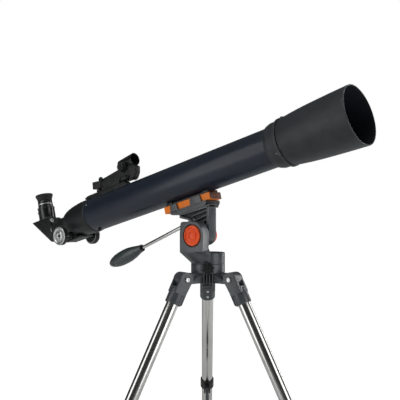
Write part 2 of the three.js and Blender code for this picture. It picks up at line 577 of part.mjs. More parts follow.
function finder(parent) {
  const bed = rod(TUBE_RADIUS + GAP, -420, -200, 32, 'x');
  const rearBed = rod(CELL_RADIUS + GAP, -420, CELL_FRONT + GAP, 28, 'x');
  const rail = cut(block(-386, -238, -9, 9, 35, 50), bed, rearBed);
  node(parent, 'finder_bracket', rail, 'black_plastic');
  const [wheelStation, , wheelHeight] = FINDER_WHEEL;
  const beam = sidePlate([
    [-322, 50.3], [-258.5, 50.3], [-258.5, 62], [-221.5, 62], [-221.5, 46], [-212, 49], [-203, 60], [-199.5, 75],
    [-208, 81], [-254, 82], [-322, 75], [-330, 75.5], [-351, 78], [-353, 60], [-334, 58], [-324, 58],
  ], -9.5, 9.5);
  const barrel = turned([[0, -25], [10.2, -25], [15.3, 25], [0, 25]], 20, 'x', FINDER_TUBE);
  const sideKnob = rod(6.5, -13.5, -9, 14, 'y', [-317, 0, 75.5]);
  const body = cut(
    join(beam, barrel, sideKnob),
    rod(11.4, 0, 40, 20, 'x', FINDER_TUBE),
    rod(4.4, -17, 0, 12, 'y', SWITCH_AT),
    rod(2.6, 0, 20, 8, 'z', FINDER_WHEEL),
  );
  node(parent, 'finder_body', body, 'black_plastic');
  node(parent, 'finder_window', rod(11, 12, 14, 20, 'x', FINDER_TUBE), 'glass');
  const dial = join(rod(4, -16.4, -9, 12, 'y', SWITCH_AT), rod(10.5, -21.4, -16.4, 18, 'y', SWITCH_AT));
  node(parent, 'finder_switch', dial, 'black_plastic');
  const wheel = join(
    rod(2.2, wheelHeight, wheelHeight + 13, 8, 'z', [wheelStation, 0, 0]),
    rod(16, wheelHeight, wheelHeight + 8.5, 20, 'z', [wheelStation, 0, 0]),
  );
  node(parent, 'finder_adjust_knob', wheel, 'black_plastic');
}

function build() {
  const telescope = new THREE.Group();
  const level = group(telescope, [0, 0, SEAM_HEIGHT]);
  tripod(level);
  azimuthLockKnob(level);
  azimuthBase(level);
  panHandle(level);
  altitudeParts(level);
  altitudeCradle(level);
  const tubeFrame = group(level, [0, 0, TUBE_AXIS_HEIGHT], [0, -TUBE_PITCH, 0]);
  opticalTube(tubeFrame);
  dovetailBar(tubeFrame);
  rearCell(tubeFrame);
  focuser(tubeFrame);
  diagonal(tubeFrame);
  eyepiece(tubeFrame);
  finder(tubeFrame);
  const bounds = new THREE.Box3().setFromObject(telescope, true);
  const centre = bounds.getCenter(new THREE.Vector3());
  telescope.position.set(-centre.x, -centre.y, -bounds.min.z);
  return telescope;
}

export default build();
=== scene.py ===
"""Refractor telescope on a folding tripod: the finished look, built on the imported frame."""

import json
import math

import bmesh
import bpy
from mathutils import Matrix, Vector


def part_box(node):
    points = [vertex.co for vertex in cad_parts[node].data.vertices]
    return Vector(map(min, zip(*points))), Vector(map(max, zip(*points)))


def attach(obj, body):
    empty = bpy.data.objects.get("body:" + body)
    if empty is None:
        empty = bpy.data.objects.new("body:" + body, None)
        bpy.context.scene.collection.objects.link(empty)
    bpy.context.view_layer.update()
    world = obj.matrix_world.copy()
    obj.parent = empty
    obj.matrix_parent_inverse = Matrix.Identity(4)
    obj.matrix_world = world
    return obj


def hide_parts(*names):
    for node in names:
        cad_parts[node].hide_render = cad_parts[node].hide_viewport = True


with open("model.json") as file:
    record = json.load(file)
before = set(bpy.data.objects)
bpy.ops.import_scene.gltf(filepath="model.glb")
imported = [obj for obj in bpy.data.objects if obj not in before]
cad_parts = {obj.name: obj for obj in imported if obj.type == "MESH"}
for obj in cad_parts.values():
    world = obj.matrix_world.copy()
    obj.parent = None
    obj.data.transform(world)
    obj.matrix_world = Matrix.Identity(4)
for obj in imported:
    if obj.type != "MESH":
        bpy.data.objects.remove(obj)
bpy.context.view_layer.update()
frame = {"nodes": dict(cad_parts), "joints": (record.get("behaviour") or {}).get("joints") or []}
joints = {joint["name"]: joint for joint in frame["joints"]}

MM = 0.001
SIDES = ("front", "left", "right")
BEVEL_ANGLE = 28           # edges that turn more than this are bevelled
SHARP_ANGLE = 32           # edges that turn more than this are shaded sharp
PIVOT_HEIGHT = 60.3        # altitude axis above the seam of the head
BOSS_OUTER = -54           # near face of the upright
BOSS_INNER = -23.4         # far face of the upright
ARM_OUTER = 1.6            # far face of the cradle arm
DISC_RADIUS = 36.4         # turning disc, and the hub under it
TUBE_RADIUS = 41
TUBE_REAR = -396
TUBE_FRONT = 203
UPPER_LEG_RADIUS = 13
LOWER_LEG_RADIUS = 9.5
LEG_OFFSET = 1.5           # leg tube axis outside its pivot
BRACE_HEIGHT = -300        # brace pivot along a leg
LOCK_HEIGHT = -435         # leg lock along a leg
PINION = (-448, 0, -34)    # middle of the focus shaft, from the tube's origin
EYEPIECE_STATION = -551    # eyepiece axis, along the tube
FLOOR_GLOW = 0.8
SKY_STRENGTH = 0.8
MIX_FACTOR, MIX_FIRST, MIX_SECOND = 0, 6, 7    # sockets of a colour Mix node


# ---- places ----
def axes_at(origin, x, y, z):
    matrix = Matrix((x, y, z)).transposed().to_4x4()
    matrix.translation = Vector(origin)
    return matrix


def spun(x=0, y=0, z=0):
    turn = Matrix.Identity(4)
    for angle, axis in ((z, "Z"), (y, "Y"), (x, "X")):
        turn = turn @ Matrix.Rotation(math.radians(angle), 4, axis)
    return turn


def shifted(x, y, z):
    return Matrix.Translation(Vector((x, y, z)) * MM)


HEAD = Matrix.Translation(Vector(joints["azimuth"]["pos_m"]))
along = Vector(joints["tube_balance"]["axis"]).normalized()
side = Vector((0, 1, 0))
tube_low, tube_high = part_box("main_tube")
tube_middle = (TUBE_REAR + TUBE_FRONT) / 2
tube_origin = (tube_low + tube_high) / 2 + along * -tube_middle * MM
TUBE = axes_at(tube_origin, along, side, along.cross(side))
handle_out = Vector(joints["handle_twist"]["axis"]).normalized()
HANDLE = axes_at(joints["handle_twist"]["pos_m"], handle_out, -side, handle_out.cross(-side))
CAPS = HEAD @ shifted(0, 0, PIVOT_HEIGHT)
LEGS = {}
ARMS = {}
for place in SIDES:
    down = Vector(joints["leg_extend_" + place]["axis"]).normalized()
    across = Vector(joints["leg_fold_" + place]["axis"]).normalized()
    LEGS[place] = axes_at(joints["leg_fold_" + place]["pos_m"], across.cross(-down), across, -down)
    flat = across.cross(Vector((0, 0, 1)))
    ARMS[place] = axes_at(joints["spreader_arm_turn_" + place]["pos_m"], flat, across, Vector((0, 0, 1)))
LEG_TURNS = {}
for place in SIDES:
    fold_axis = joints["leg_fold_" + place]["axis"]
    LEG_TURNS[place] = math.degrees(math.atan2(-fold_axis[0], fold_axis[1]))
spreader_height = Vector(joints["spreader_arm_turn_front"]["pos_m"]).z
SPREADER = Matrix.Translation((HEAD.translation.x, HEAD.translation.y, spreader_height))
TO_X = spun(y=90)
TO_Y = spun(x=-90)


# ---- shapes, in millimetres ----
class Shape:
    def __init__(self, points=(), faces=()):
        self.points = [Vector(p) for p in points]
        self.faces = [tuple(f) for f in faces]

    def __add__(self, other):
        start = len(self.points)
        moved = [tuple(i + start for i in f) for f in other.faces]
        return Shape(self.points + other.points, self.faces + moved)

    def at(self, x=0, y=0, z=0, turn=None):
        move = Matrix.Translation((x, y, z)) @ (turn or Matrix.Identity(4))
        return Shape([move @ p for p in self.points], self.faces)


def softened(outline, radius, closed=True):
    """Rounds the corners of an outline of 2-D points."""
    count = len(outline)
    made = []
    for i, corner in enumerate(outline):
        here = Vector(corner[:2])
        if not closed and i in (0, count - 1):
            made.append(here)
            continue
        to_last = Vector(outline[i - 1][:2]) - here
        to_next = Vector(outline[(i + 1) % count][:2]) - here
        reach = min(radius, to_last.length * 0.45, to_next.length * 0.45)
        turn = math.pi - to_last.angle(to_next) if min(to_last.length, to_next.length) > 1e-6 else 0
        if turn < 0.3 or reach < 0.02:
            made.append(here)
            continue
        start = here + to_last.normalized() * reach
        end = here + to_next.normalized() * reach
        for k in range(5):
            t = k / 4
            made.append(start * (1 - t) ** 2 + here * 2 * t * (1 - t) + end * t * t)
    return made


def lathe(profile, sides=72, soft=0.6, wave=None):
    """Turns a profile of (radius, height) about Z. It ends on the axis, or closes on itself."""
    solid = profile[0][0] == 0 and profile[-1][0] == 0
    outline = softened(profile, soft, closed=not solid)
    shape = Shape()
    rings = []
    for radius, height in outline:
        if radius < 1e-4:
            rings.append([len(shape.points)])
            shape.points.append(Vector((0, 0, height)))
            continue
        ring = []
        for k in range(sides):
            a = 2 * math.pi * k / sides
            r = radius * (1 + wave(a)) if wave else radius
            ring.append(len(shape.points))
            shape.points.append(Vector((r * math.cos(a), r * math.sin(a), height)))
        rings.append(ring)
    pairs = list(zip(rings, rings[1:]))
    if not solid:
        pairs.append((rings[-1], rings[0]))
    for low, high in pairs:
        for k in range(sides):
            n = (k + 1) % sides
            if len(low) == 1 and len(high) == 1:
                continue
            if len(low) == 1:
                shape.faces.append((low[0], high[n], high[k]))
            elif len(high) == 1:
                shape.faces.append((low[k], low[n], high[0]))
            else:
                shape.faces.append((low[k], low[n], high[n], high[k]))
    return shape


def rod(radius, start, end, sides=48, soft=0.6):
    return lathe([(0, start), (radius, start), (radius, end), (0, end)], sides, soft)


def pipe(outer, inner, start, end, sides=72, soft=0.4):
    return lathe([(inner, start), (outer, start), (outer, end), (inner, end)], sides, soft)


def finish_bmesh(work, width, limit=BEVEL_ANGLE):
    bmesh.ops.recalc_face_normals(work, faces=work.faces)
    if width:
        turn = math.radians(limit)
        edges = [e for e in work.edges if len(e.link_faces) == 2 and e.calc_face_angle(0) > turn]
        bmesh.ops.bevel(work, geom=edges, offset=width, segments=3, profile=0.6, affect="EDGES",
                        clamp_overlap=True)
    work.verts.index_update()
    shape = Shape([v.co.copy() for v in work.verts], [[v.index for v in f.verts] for f in work.faces])
    work.free()
    return shape


def plate(outline, low, high, bevel=0.8):
    """A flat plate in X and Y between two heights."""
    work = bmesh.new()
    verts = [work.verts.new((p[0], p[1], low)) for p in outline]
    face = work.faces.new(verts)
    moved = bmesh.ops.extrude_face_region(work, geom=[face])
    for v in moved["geom"]:
        if isinstance(v, bmesh.types.BMVert):
            v.co.z = high
    return finish_bmesh(work, bevel)


def side_plate(outline, near, far, bevel=0.8):
    """A plate in X and Z between two values of Y."""
    return plate(outline, -far, -near, bevel).at(turn=spun(x=90))


def block(x0, x1, y0, y1, z0, z1, bevel=0.8):
    return plate([(x0, y0), (x1, y0), (x1, y1), (x0, y1)], z0, z1, bevel)


def hull(points, bevel=0.8, limit=BEVEL_ANGLE):
    work = bmesh.new()
    for p in points:
        work.verts.new(p)
    made = bmesh.ops.convex_hull(work, input=work.verts)
    loose = [g for g in made["geom_interior"] + made["geom_unused"] if isinstance(g, bmesh.types.BMVert)]
    bmesh.ops.delete(work, geom=list(set(loose)), context="VERTS")
    bmesh.ops.dissolve_limit(work, angle_limit=math.radians(1), verts=work.verts, edges=work.edges)
    return finish_bmesh(work, bevel, limit)


def straddling(rows):
    """Points at plus and minus Y for rows of (x, half width, z)."""
    return [(x, y, z) for x, half, z in rows for y in (-half, half)]


def arc(cx, cy, radius, start, end, steps):
    turns = [math.radians(start + (end - start) * i / steps) for i in range(steps + 1)]
    return [(cx + radius * math.cos(a), cy + radius * math.sin(a)) for a in turns]


def lobed(core, swell, lobes, low, high, bevel=1.2):
    """A clamp knob with round lobes about Z."""
    outline = []
    for k in range(lobes * 16):
        a = 2 * math.pi * k / (lobes * 16)
        wave = 0.5 + 0.5 * math.cos(lobes * a)
        radius = core + swell * wave ** 0.8
        outline.append((radius * math.cos(a), radius * math.sin(a)))
    knob = plate(outline, low, high, bevel)
    return knob + rod(core * 0.62, high - 1, high + 0.6, 40, 0.4)


def screw_head(radius, height):
    """A small round screw head about Z."""
    return lathe([(0, 0), (radius, 0), (radius, height * 0.6), (radius * 0.7, height), (0, height)], 32, 0.3)


def knurl(count, depth):
    return lambda a: depth * (0.5 + 0.5 * math.cos(count * a))


# ---- finishes ----
class Wire:
    """A node socket that takes part in arithmetic."""

    def __init__(self, finish, socket):
        self.finish = finish
        self.socket = socket

    def math(self, operation, *values):
        return self.finish.node("ShaderNodeMath", dict(enumerate(values)), operation=operation)

    def __add__(self, other):
        return self.math("ADD", self, other)

    __radd__ = __add__

    def __mul__(self, other):
        return self.math("MULTIPLY", self, other)

    __rmul__ = __mul__

    def sine(self):
        return self.math("SINE", self)


class Finish:
    """One material, built by its own nodes."""

    def __init__(self, name, slot_name):
        self.slot_name = slot_name
        self.material = bpy.data.materials.new(name)
        self.material.use_nodes = True
        self.tree = self.material.node_tree
        self.shader = self.tree.nodes["Principled BSDF"]
        self.place = self.node("ShaderNodeTexCoord", out="Object")

    def node(self, kind, sockets=None, out=0, stops=None, **settings):
        made = self.tree.nodes.new(kind)
        for key, value in settings.items():
            setattr(made, key, value)
        if stops:
            ramp = made.color_ramp.elements
            for i, (position, level) in enumerate(stops):
                stop = ramp[i] if i < 2 else ramp.new(position)
                stop.position = position
                stop.color = (level, level, level, 1)
        for key, value in (sockets or {}).items():
            if isinstance(value, Wire):
                self.tree.links.new(value.socket, made.inputs[key])
            else:
                made.inputs[key].default_value = value
        return Wire(self, made.outputs[out])

    def noise(self, scale, detail=3, rough=0.5, place=None):
        sockets = {"Vector": place or self.place, "Scale": scale, "Detail": detail, "Roughness": rough}
        return self.node("ShaderNodeTexNoise", sockets)

    def stretched(self, x, y, z):
        return self.node("ShaderNodeVectorMath", {0: self.place, 1: (x, y, z)}, operation="MULTIPLY")

    def level(self, value, low, high):
        """Spreads a noise value around a half between low and high."""
        return self.node("ShaderNodeMapRange", {0: value, 1: 0.3, 2: 0.7, 3: low, 4: high})

    def mix(self, factor, first, second):
        """Mixes a made or plain colour with a plain one."""
        start = first if isinstance(first, Wire) else (*first, 1)
        sockets = {MIX_FACTOR: factor, MIX_FIRST: start, MIX_SECOND: (*second, 1)}
        return self.node("ShaderNodeMix", sockets, out=2, data_type="RGBA")

    def worn(self, strength=1.0):
        """A mask that is high on outer edges."""
        point = self.node("ShaderNodeNewGeometry", out="Pointiness")
        edge = self.node("ShaderNodeValToRGB", {0: point}, stops=((0.51, 0), (0.56, 1)))
        return edge * self.level(self.noise(60, 4), 0.1, strength)

    def bump(self, height, strength, distance=0.0004):
        return self.node("ShaderNodeBump", {"Height": height, "Strength": strength, "Distance": distance})

    def finish(self, **sockets):
        names = {"base": "Base Color", "rough": "Roughness", "metal": "Metallic", "normal": "Normal",
                 "coat": "Coat Weight", "coat_rough": "Coat Roughness", "ior": "IOR",
                 "specular": "Specular IOR Level", "clear": "Transmission Weight", "sheen": "Sheen Weight",
                 "glow": "Emission Color", "glow_strength": "Emission Strength"}
        for key, value in sockets.items():
            socket = self.shader.inputs[names[key]]
            if isinstance(value, Wire):
                self.tree.links.new(value.socket, socket)
            else:
                socket.default_value = (*value, 1) if isinstance(value, tuple) else value
        return self


def gloss_paint():
    f = Finish("navy_gloss_paint", "tube_paint")
    cloud = f.noise(9, 3)
    fleck = f.noise(900, 2)
    base = f.mix(f.level(cloud, 0, 1), (0.010, 0.0165, 0.030), (0.014, 0.022, 0.037))
    base = f.mix(f.worn(0.25), base, (0.07, 0.085, 0.11))
    peel = f.noise(260, 2)
    return f.finish(base=base, rough=f.level(f.noise(30, 4), 0.3, 0.4) + fleck * 0.03, metal=0.1, coat=0.28,
                    specular=0.3, coat_rough=0.16, normal=f.bump(peel, 0.05, 0.0002))


def moulded(name, slot_name, dark, light, rough, grain=1400, grain_depth=0.16, edge=(0.2, 0.2, 0.2), wear=0.3,
             shine=0.34):
    """Moulded plastic with a fine spark-eroded grain, paler on rubbed edges."""
    f = Finish(name, slot_name)
    base = f.mix(f.level(f.noise(38, 5), 0, 1), dark, light)
    base = f.mix(f.worn(wear), base, edge)
    height = f.noise(grain, 2, 0.6) + f.noise(grain * 0.35, 2) * 0.5
    return f.finish(base=base, rough=f.level(f.noise(70, 4), rough - 0.05, rough + 0.07), specular=shine,
                    normal=f.bump(height, grain_depth, 0.0003))


def satin_paint():
    f = Finish("orange_satin_paint", "orange_bar")
    base = f.mix(f.level(f.noise(45, 4), 0, 1), (0.90, 0.185, 0.003), (1.0, 0.235, 0.005))
    base = f.mix(f.worn(0.2), base, (0.95, 0.42, 0.12))
    pits = f.noise(900, 3)
    return f.finish(base=base, rough=f.level(f.noise(80, 4), 0.42, 0.56), coat=0.05, coat_rough=0.3,
                    specular=0.35, normal=f.bump(pits, 0.12, 0.0003))


def cast_end():
    """The rough cast end face of the bar, darker than its paint, with painted shade that goes near black in
    the pits where the bump noise is low.
    """
    f = Finish("orange_cast_end", "orange_bar")
    lumps = f.noise(330, 5, 0.65)
    base = f.mix(f.node("ShaderNodeValToRGB", {0: lumps}, stops=((0.52, 0), (0.66, 1))),
                 (0.030, 0.007, 0.003), (0.55, 0.11, 0.006))
    return f.finish(base=base, rough=f.level(f.noise(90, 4), 0.45, 0.65), normal=f.bump(lumps, 0.7, 0.0009))


def polished():
    f = Finish("polished_chrome", "chrome")
    long_lines = f.noise(1.0, 4, 0.6, f.stretched(900, 900, 14))
    smear = f.noise(14, 4)
    base = f.mix(f.level(smear, 0, 1), (0.60, 0.60, 0.585), (0.70, 0.70, 0.68))
    return f.finish(base=base, metal=1.0, rough=f.level(smear, 0.10, 0.16) + long_lines * 0.05,
                    normal=f.bump(long_lines, 0.02, 0.0001))


def turned_steel():
    """Bright steel with the fine rings that a lathe tool leaves about Z."""
    f = Finish("turned_steel", "bolt_steel")
    ring_density = 5200
    flat = f.node("ShaderNodeVectorMath", {0: f.place, 1: (1, 1, 0)}, operation="MULTIPLY")
    radius = f.node("ShaderNodeVectorMath", {0: flat}, out="Value", operation="LENGTH")
    rings = (radius * ring_density + f.noise(40, 2) * 2.0).sine()
    base = f.mix(f.level(f.noise(120, 4), 0, 1), (0.60, 0.62, 0.61), (0.74, 0.76, 0.75))
    return f.finish(base=base, metal=1.0, rough=f.level(f.noise(160, 3), 0.26, 0.38) + rings * 0.03,
                    normal=f.bump(rings, 0.12, 0.0001))


def soft_rubber():
    f = Finish("soft_rubber", "rubber")
    base = f.mix(f.level(f.noise(60, 5), 0, 1), (0.007, 0.007, 0.008), (0.016, 0.016, 0.017))
    return f.finish(base=base, rough=f.level(f.noise(90, 4), 0.62, 0.82), sheen=0.15,
                    normal=f.bump(f.noise(1100, 3), 0.3, 0.0003))


def coated_glass(name, tint):
    f = Finish(name, "glass")
    return f.finish(base=f.mix(f.level(f.noise(8, 2), 0, 1), tint, tuple(c * 0.9 for c in tint)),
                    rough=f.level(f.noise(30, 3), 0.02, 0.05), clear=0.55, ior=1.5, coat=0.6, coat_rough=0.02)


def mirror_glass():
    f = Finish("mirror_glass", "glass")
    return f.finish(base=f.mix(f.noise(20, 2), (0.85, 0.86, 0.87), (0.9, 0.91, 0.92)), metal=1.0,
                    rough=f.level(f.noise(30, 3), 0.02, 0.05))


NAVY = gloss_paint()
BLACK = moulded("black_moulded", "black_plastic", (0.0055, 0.0062, 0.0065), (0.011, 0.012, 0.0125), 0.36)
GLOSS = moulded("gloss_black_moulded", "black_plastic", (0.006, 0.0066, 0.007), (0.010, 0.011, 0.0115), 0.2,
                grain_depth=0.04, shine=0.7)
CELL = moulded("cell_moulded", "black_plastic", (0.008, 0.010, 0.0105), (0.015, 0.018, 0.019), 0.36)
HOOD = moulded("hood_moulded", "hood_plastic", (0.024, 0.029, 0.032), (0.036, 0.042, 0.046), 0.42,
               edge=(0.3, 0.3, 0.3))
HOOD_INSIDE = moulded("hood_matt_inside", "hood_plastic", (0.006, 0.007, 0.012), (0.011, 0.013, 0.020), 0.75,
                      wear=0.0)
GREY = moulded("grey_moulded", "mount_plastic", (0.036, 0.043, 0.049), (0.054, 0.063, 0.071), 0.32,
               grain_depth=0.1, edge=(0.3, 0.31, 0.32), shine=0.6)
# A darker grey that paints shade on the hub core under the disc, the recessed cradle web and the saddle's
# forward end faces. It also colours the seam ring as a dark joint.
SHADE_AND_SEAM_GREY = moulded("shade_and_seam_moulded", "mount_plastic", (0.010, 0.0115, 0.013), (0.020, 0.022, 0.025), 0.5, wear=0.15)
GRIP = moulded("grip_moulded", "grip_grey", (0.030, 0.042, 0.043), (0.046, 0.060, 0.062), 0.3, grain=700,
               grain_depth=0.08, edge=(0.2, 0.24, 0.24), shine=0.7)
CAP = moulded("cap_moulded", "cap_orange", (0.93, 0.080, 0.010), (1.0, 0.120, 0.018), 0.3, grain_depth=0.05,
              edge=(0.95, 0.32, 0.15), wear=0.35)
ORANGE = satin_paint()
CAST = cast_end()
CHROME = polished()
STEEL = turned_steel()
RUBBER = soft_rubber()
LENS = coated_glass("coated_lens", (0.10, 0.16, 0.26))
DARK_GLASS = coated_glass("finder_glass", (0.012, 0.014, 0.018))
EYE = coated_glass("eye_lens_glass", (0.16, 0.20, 0.24))
MIRROR = mirror_glass()


# ---- pieces ----
def mesh_of(name, shape, merge=False):
    """Makes a mesh in metres, with its faces turned outward."""
    mesh = bpy.data.meshes.new(name)
    mesh.from_pydata([p * MM for p in shape.points], [], shape.faces)
    work = bmesh.new()
    work.from_mesh(mesh)
    if merge:
        bmesh.ops.remove_doubles(work, verts=work.verts, dist=1e-7)
    bmesh.ops.recalc_face_normals(work, faces=work.faces)
    work.to_mesh(mesh)
    work.free()
    return mesh


def piece(name, shape, where, finish, body, *nodes, inner=None):
    """Makes one shown piece. inner is a (test, finish) pair for faces that take a second finish."""
    mesh = mesh_of(name, shape, merge=True)
    mesh.materials.append(finish.material)
    if inner:
        test, second = inner
        mesh.materials.append(second.material)
        for polygon in mesh.polygons:
            if test(polygon.center / MM, polygon.normal):
                polygon.material_index = 1
    for polygon in mesh.polygons:
        polygon.use_smooth = True
    mesh.set_sharp_from_angle(angle=math.radians(SHARP_ANGLE))
    made = bpy.data.objects.new(name, mesh)
    bpy.context.scene.collection.objects.link(made)
    made.matrix_world = where
    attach(made, body)
    if nodes:
        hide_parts(*nodes)
    return made


def carve(target, cutter, where):
    """Cuts a shape out of a piece."""
    tool = bpy.data.objects.new("cutter", mesh_of("cutter", cutter))
    bpy.context.scene.collection.objects.link(tool)
    tool.matrix_world = where
    modifier = target.modifiers.new("cut", "BOOLEAN")
    modifier.object = tool
    modifier.operation = "DIFFERENCE"
    modifier.solver = "EXACT"
    bpy.context.view_layer.update()
    shown = target.evaluated_get(bpy.context.evaluated_depsgraph_get())
    mesh = bpy.data.meshes.new_from_object(shown)
    target.modifiers.clear()
    target.data = mesh
    mesh.set_sharp_from_angle(angle=math.radians(SHARP_ANGLE))
    bpy.data.objects.remove(tool)


# ---- tripod top ----
def tripod_hub():
    shape = lathe([(0, -19.5), (DISC_RADIUS, -19.5), (DISC_RADIUS, -0.3), (0, -0.3)], 96, 1.0)
    core = lathe([(0, -41), (23, -41), (24.5, -19), (0, -19)], 64, 1.5)
    core = core + lathe([(0, -43), (13, -43), (14, -41), (0, -40.5)], 48, 0.6)
    # The hub core under the disc takes the darker grey as painted shade.
    piece("tripod_hub_core", core, HEAD, SHADE_AND_SEAM_GREY, "tripod", "tripod_hub")
    knuckle = arc(60, -31.8, 10.9, -95, 92, 18)
    for place in SIDES:
        turn = spun(z=LEG_TURNS[place])
        arm = side_plate([(14, -41)] + knuckle + [(52, -22.5), (49, -19.3), (14, -19.3)], -9.8, 9.8, 1.0)
        flare = hull(straddling(((20, 22, -19.5), (38, 9.8, -19.5), (20, 12, -38), (46, 9.6, -36))), 1.0)
        shape = shape + (arm + flare).at(turn=turn)
        for offset in (-9, -3, 3, 9):
            rib = side_plate([(18, -41), (28, -41), (35.4, -18.9), (18, -18.9)], offset - 1, offset + 1, 0.5)
            shape = shape + rib.at(turn=turn @ spun(z=60))
    piece("tripod_hub_shell", shape, HEAD, GREY, "tripod", "tripod_hub")


def azimuth_lock():
    direction = Vector(joints["azimuth_lock_turn"]["axis"])
    centre = Vector((HEAD.translation.x, HEAD.translation.y, joints["azimuth_lock_turn"]["pos_m"][2]))
    tangent = Vector((0, 0, 1)).cross(direction)
    where = axes_at(centre, tangent, Vector((0, 0, 1)), direction) @ spun(z=12)
    shape = rod(3.2, 20, 40) + lobed(9.2, 4.4, 8, 38.4, 47.6, 1.2)
    shape = shape + lathe([(0, 46), (4.6, 46), (4.4, 48.8), (0, 48.8)], 32, 0.5)
    piece("azimuth_lock_grip", shape, where, BLACK, "azimuth_lock", "azimuth_lock_knob")


# ---- turning head ----
def head_disc():
    profile = [(0, 0.3), (DISC_RADIUS, 0.3), (DISC_RADIUS, 22.6), (35.2, 24), (31, 24), (30.4, 23.4),
               (0, 23.4)]
    shape = lathe(profile, 96, 0.8)
    piece("head_disc", shape, HEAD, GREY, "head", "azimuth_base")
    ring = pipe(36.05, 34, -0.35, 0.35, 96, 0.1)
    piece("head_seam_ring", ring, HEAD, SHADE_AND_SEAM_GREY, "head")


def upright():
    outline = [(28, 27)] + arc(0, PIVOT_HEIGHT, 29.8, -10, 92, 20)
    outline = outline + [(-27, 89.4), (-32, 87), (-34.2, 66), (-34.2, 24)]
    near = softened(outline, 2)
    boss = [(p[0], BOSS_OUTER + 0.1, p[1]) for p in near]
    boss = boss + [(p[0] * (0.74 if p[0] > 0 else 0.92), BOSS_INNER - 0.1, p[1]) for p in near]
    body = hull(boss, 1.6, 30)
    skirt = [(x, y, z) for x, y in arc(0, 0, 36.3, -143, -42, 24) for z in (1.2, 22)]
    skirt = skirt + [(x, BOSS_OUTER + 0.8, z) for x in (-34, 6) for z in (24.5, 26)]
    skirt = skirt + [(x, BOSS_INNER - 0.1, z) for x in (-31, 20) for z in (24.5, 36)]
    made = piece("upright_boss", body, HEAD, GREY, "head", "azimuth_base")
    piece("upright_foot", hull(skirt, 1.4, 30), HEAD, GREY, "head", "azimuth_base")
    seat = lathe([(0, -1), (24.6, -1), (24, 5.5), (0, 5.5)], 80, 0.3)
    carve(made, seat, CAPS @ shifted(0, BOSS_OUTER, 0) @ TO_Y)
    lip = lathe([(23.9, 0.35), (25.4, 0.35), (25.2, -0.15), (24.3, -0.15)], 80, 0.2)
    piece("upright_lip", lip, CAPS @ shifted(0, BOSS_OUTER, 0) @ TO_Y, GREY, "head")


def altitude_caps():
    near = [(0, -5.2), (21.6, -5.2), (21.6, 0.2), (20.2, 2.0), (17.6, 2.2), (16.2, 0.4), (15, -0.6),
            (11.8, -0.6), (11, 1.4), (9.6, 1.8), (8.2, 1.2), (7.2, -0.6), (0, -0.6)]
    where = CAPS @ shifted(0, BOSS_OUTER, 0) @ spun(x=90)
    piece("altitude_cap_near", lathe(near, 96, 0.9), where, CAP, "cradle", "altitude_cap_right")
    far = [(0, 6), (11, 6), (11, 0.3), (18.4, 0.3), (18.4, 6.8), (16.4, 8.5), (9, 8.6), (8.2, 8), (0, 8)]
    piece("altitude_cap_far", lathe(far, 96, 0.8), CAPS @ shifted(0, ARM_OUTER, 0) @ TO_Y, CAP, "cradle",
          "altitude_cap_left")
    washer = pipe(12.5, 4.4, BOSS_INNER + 0.02, BOSS_INNER + 0.5, 48, 0.1)
    piece("altitude_washer", washer, CAPS @ TO_Y, BLACK, "head")


# ---- cradle ----
def cradle():
    near, far = BOSS_INNER + 0.6, ARM_OUTER
    outline = arc(0, PIVOT_HEIGHT, 21.4, -180, 0, 36)
    outline = outline + [(21.4, 126), (-62, 107), (-62, 97), (-38, 92.5), (-24, 80), (-21.4, 70)]
    web = [(p[0] * 0.97, p[1]) for p in outline]
    shape = side_plate(web, near + 7, far - 1.5, 0.6)
    # The recessed web takes the darker grey as painted shade.
    piece("cradle_web", shape, HEAD, SHADE_AND_SEAM_GREY, "cradle", "altitude_cradle")
    front = arc(0, PIVOT_HEIGHT, 21.4, -90, 0, 18) + [(21.4, 126), (13.4, 124.2), (13.4, 62), (0, 46)]
    flange = side_plate(front, near, far, 1.4)
    rear = side_plate([(-62, 107), (-62, 97), (-38, 92.5), (-24, 80), (-21.4, 70)]
                      + arc(0, PIVOT_HEIGHT, 21.4, -180, -90, 18)
                      + [(0, 46), (-14, 58), (-17, 74), (-20, 84), (-34, 96), (-58, 101), (-58, 108)], near,
                      far, 1.2)
    roof = side_plate([(-62, 101.5), (-62, 107.4), (21.4, 127), (21.4, 121)], near, far, 0.8)
    pivot = lathe([(0, near), (17, near), (17, far), (0, far)], 64, 0.8).at(z=PIVOT_HEIGHT, turn=spun(x=-90))
    shape = flange + rear + roof + pivot
    for k in range(4):
        low = 82 + 9.5 * k
        rib = [(13.6, low + 12), (13.6, low + 14.6), (-12 - 9 * k, low + 0.2), (-12 - 9 * k, low - 2.2)]
        shape = shape + side_plate(rib, near + 2, near + 9, 0.4)
    collar = lathe([(0, 1), (7.4, 1), (7.4, 21), (6.6, 22), (0, 22)], 48, 0.6)
    piece("cradle_flanges", shape, HEAD, GREY, "cradle", "altitude_cradle")
    piece("handle_collar", collar, HANDLE @ TO_X, GREY, "cradle", "altitude_cradle")


def saddle():
    under = [(-106, -67), (-101, -70), (-82, -73.4), (-9, -73.4), (-3, -68), (-2.4, -61.6), (-106, -61.6)]
    shape = side_plate(softened(under, 1.5), -24.4, 24.4, 1.0)
    for near, far in ((-24.4, -20.3), (20.3, 24.4)):
        for start, end in ((-106, -82), (-48, -14)):
            finger = softened([(start, -66), (end, -66), (end - 3.4, -46.6), (start + 3.4, -46.6)], 1.2)
            shape = shape + side_plate(finger, near, far, 0.8)
    # Faces at the saddle's front end that turn forward take the darker grey as painted shade.
    piece("saddle", shape, TUBE, GREY, "cradle", "altitude_cradle",
          inner=(lambda c, n: c.x > -10 and n.x > 0.4, SHADE_AND_SEAM_GREY))
    screw = Vector((-17, 0, -67.2))
    knob = rod(3, 16, 26) + lobed(5.4, 2.4, 5, 25.3, 30.4, 0.7)
    piece("saddle_clamp", knob, TUBE @ shifted(*screw) @ TO_Y, BLACK, "tube_clamp", "dovetail_knob")


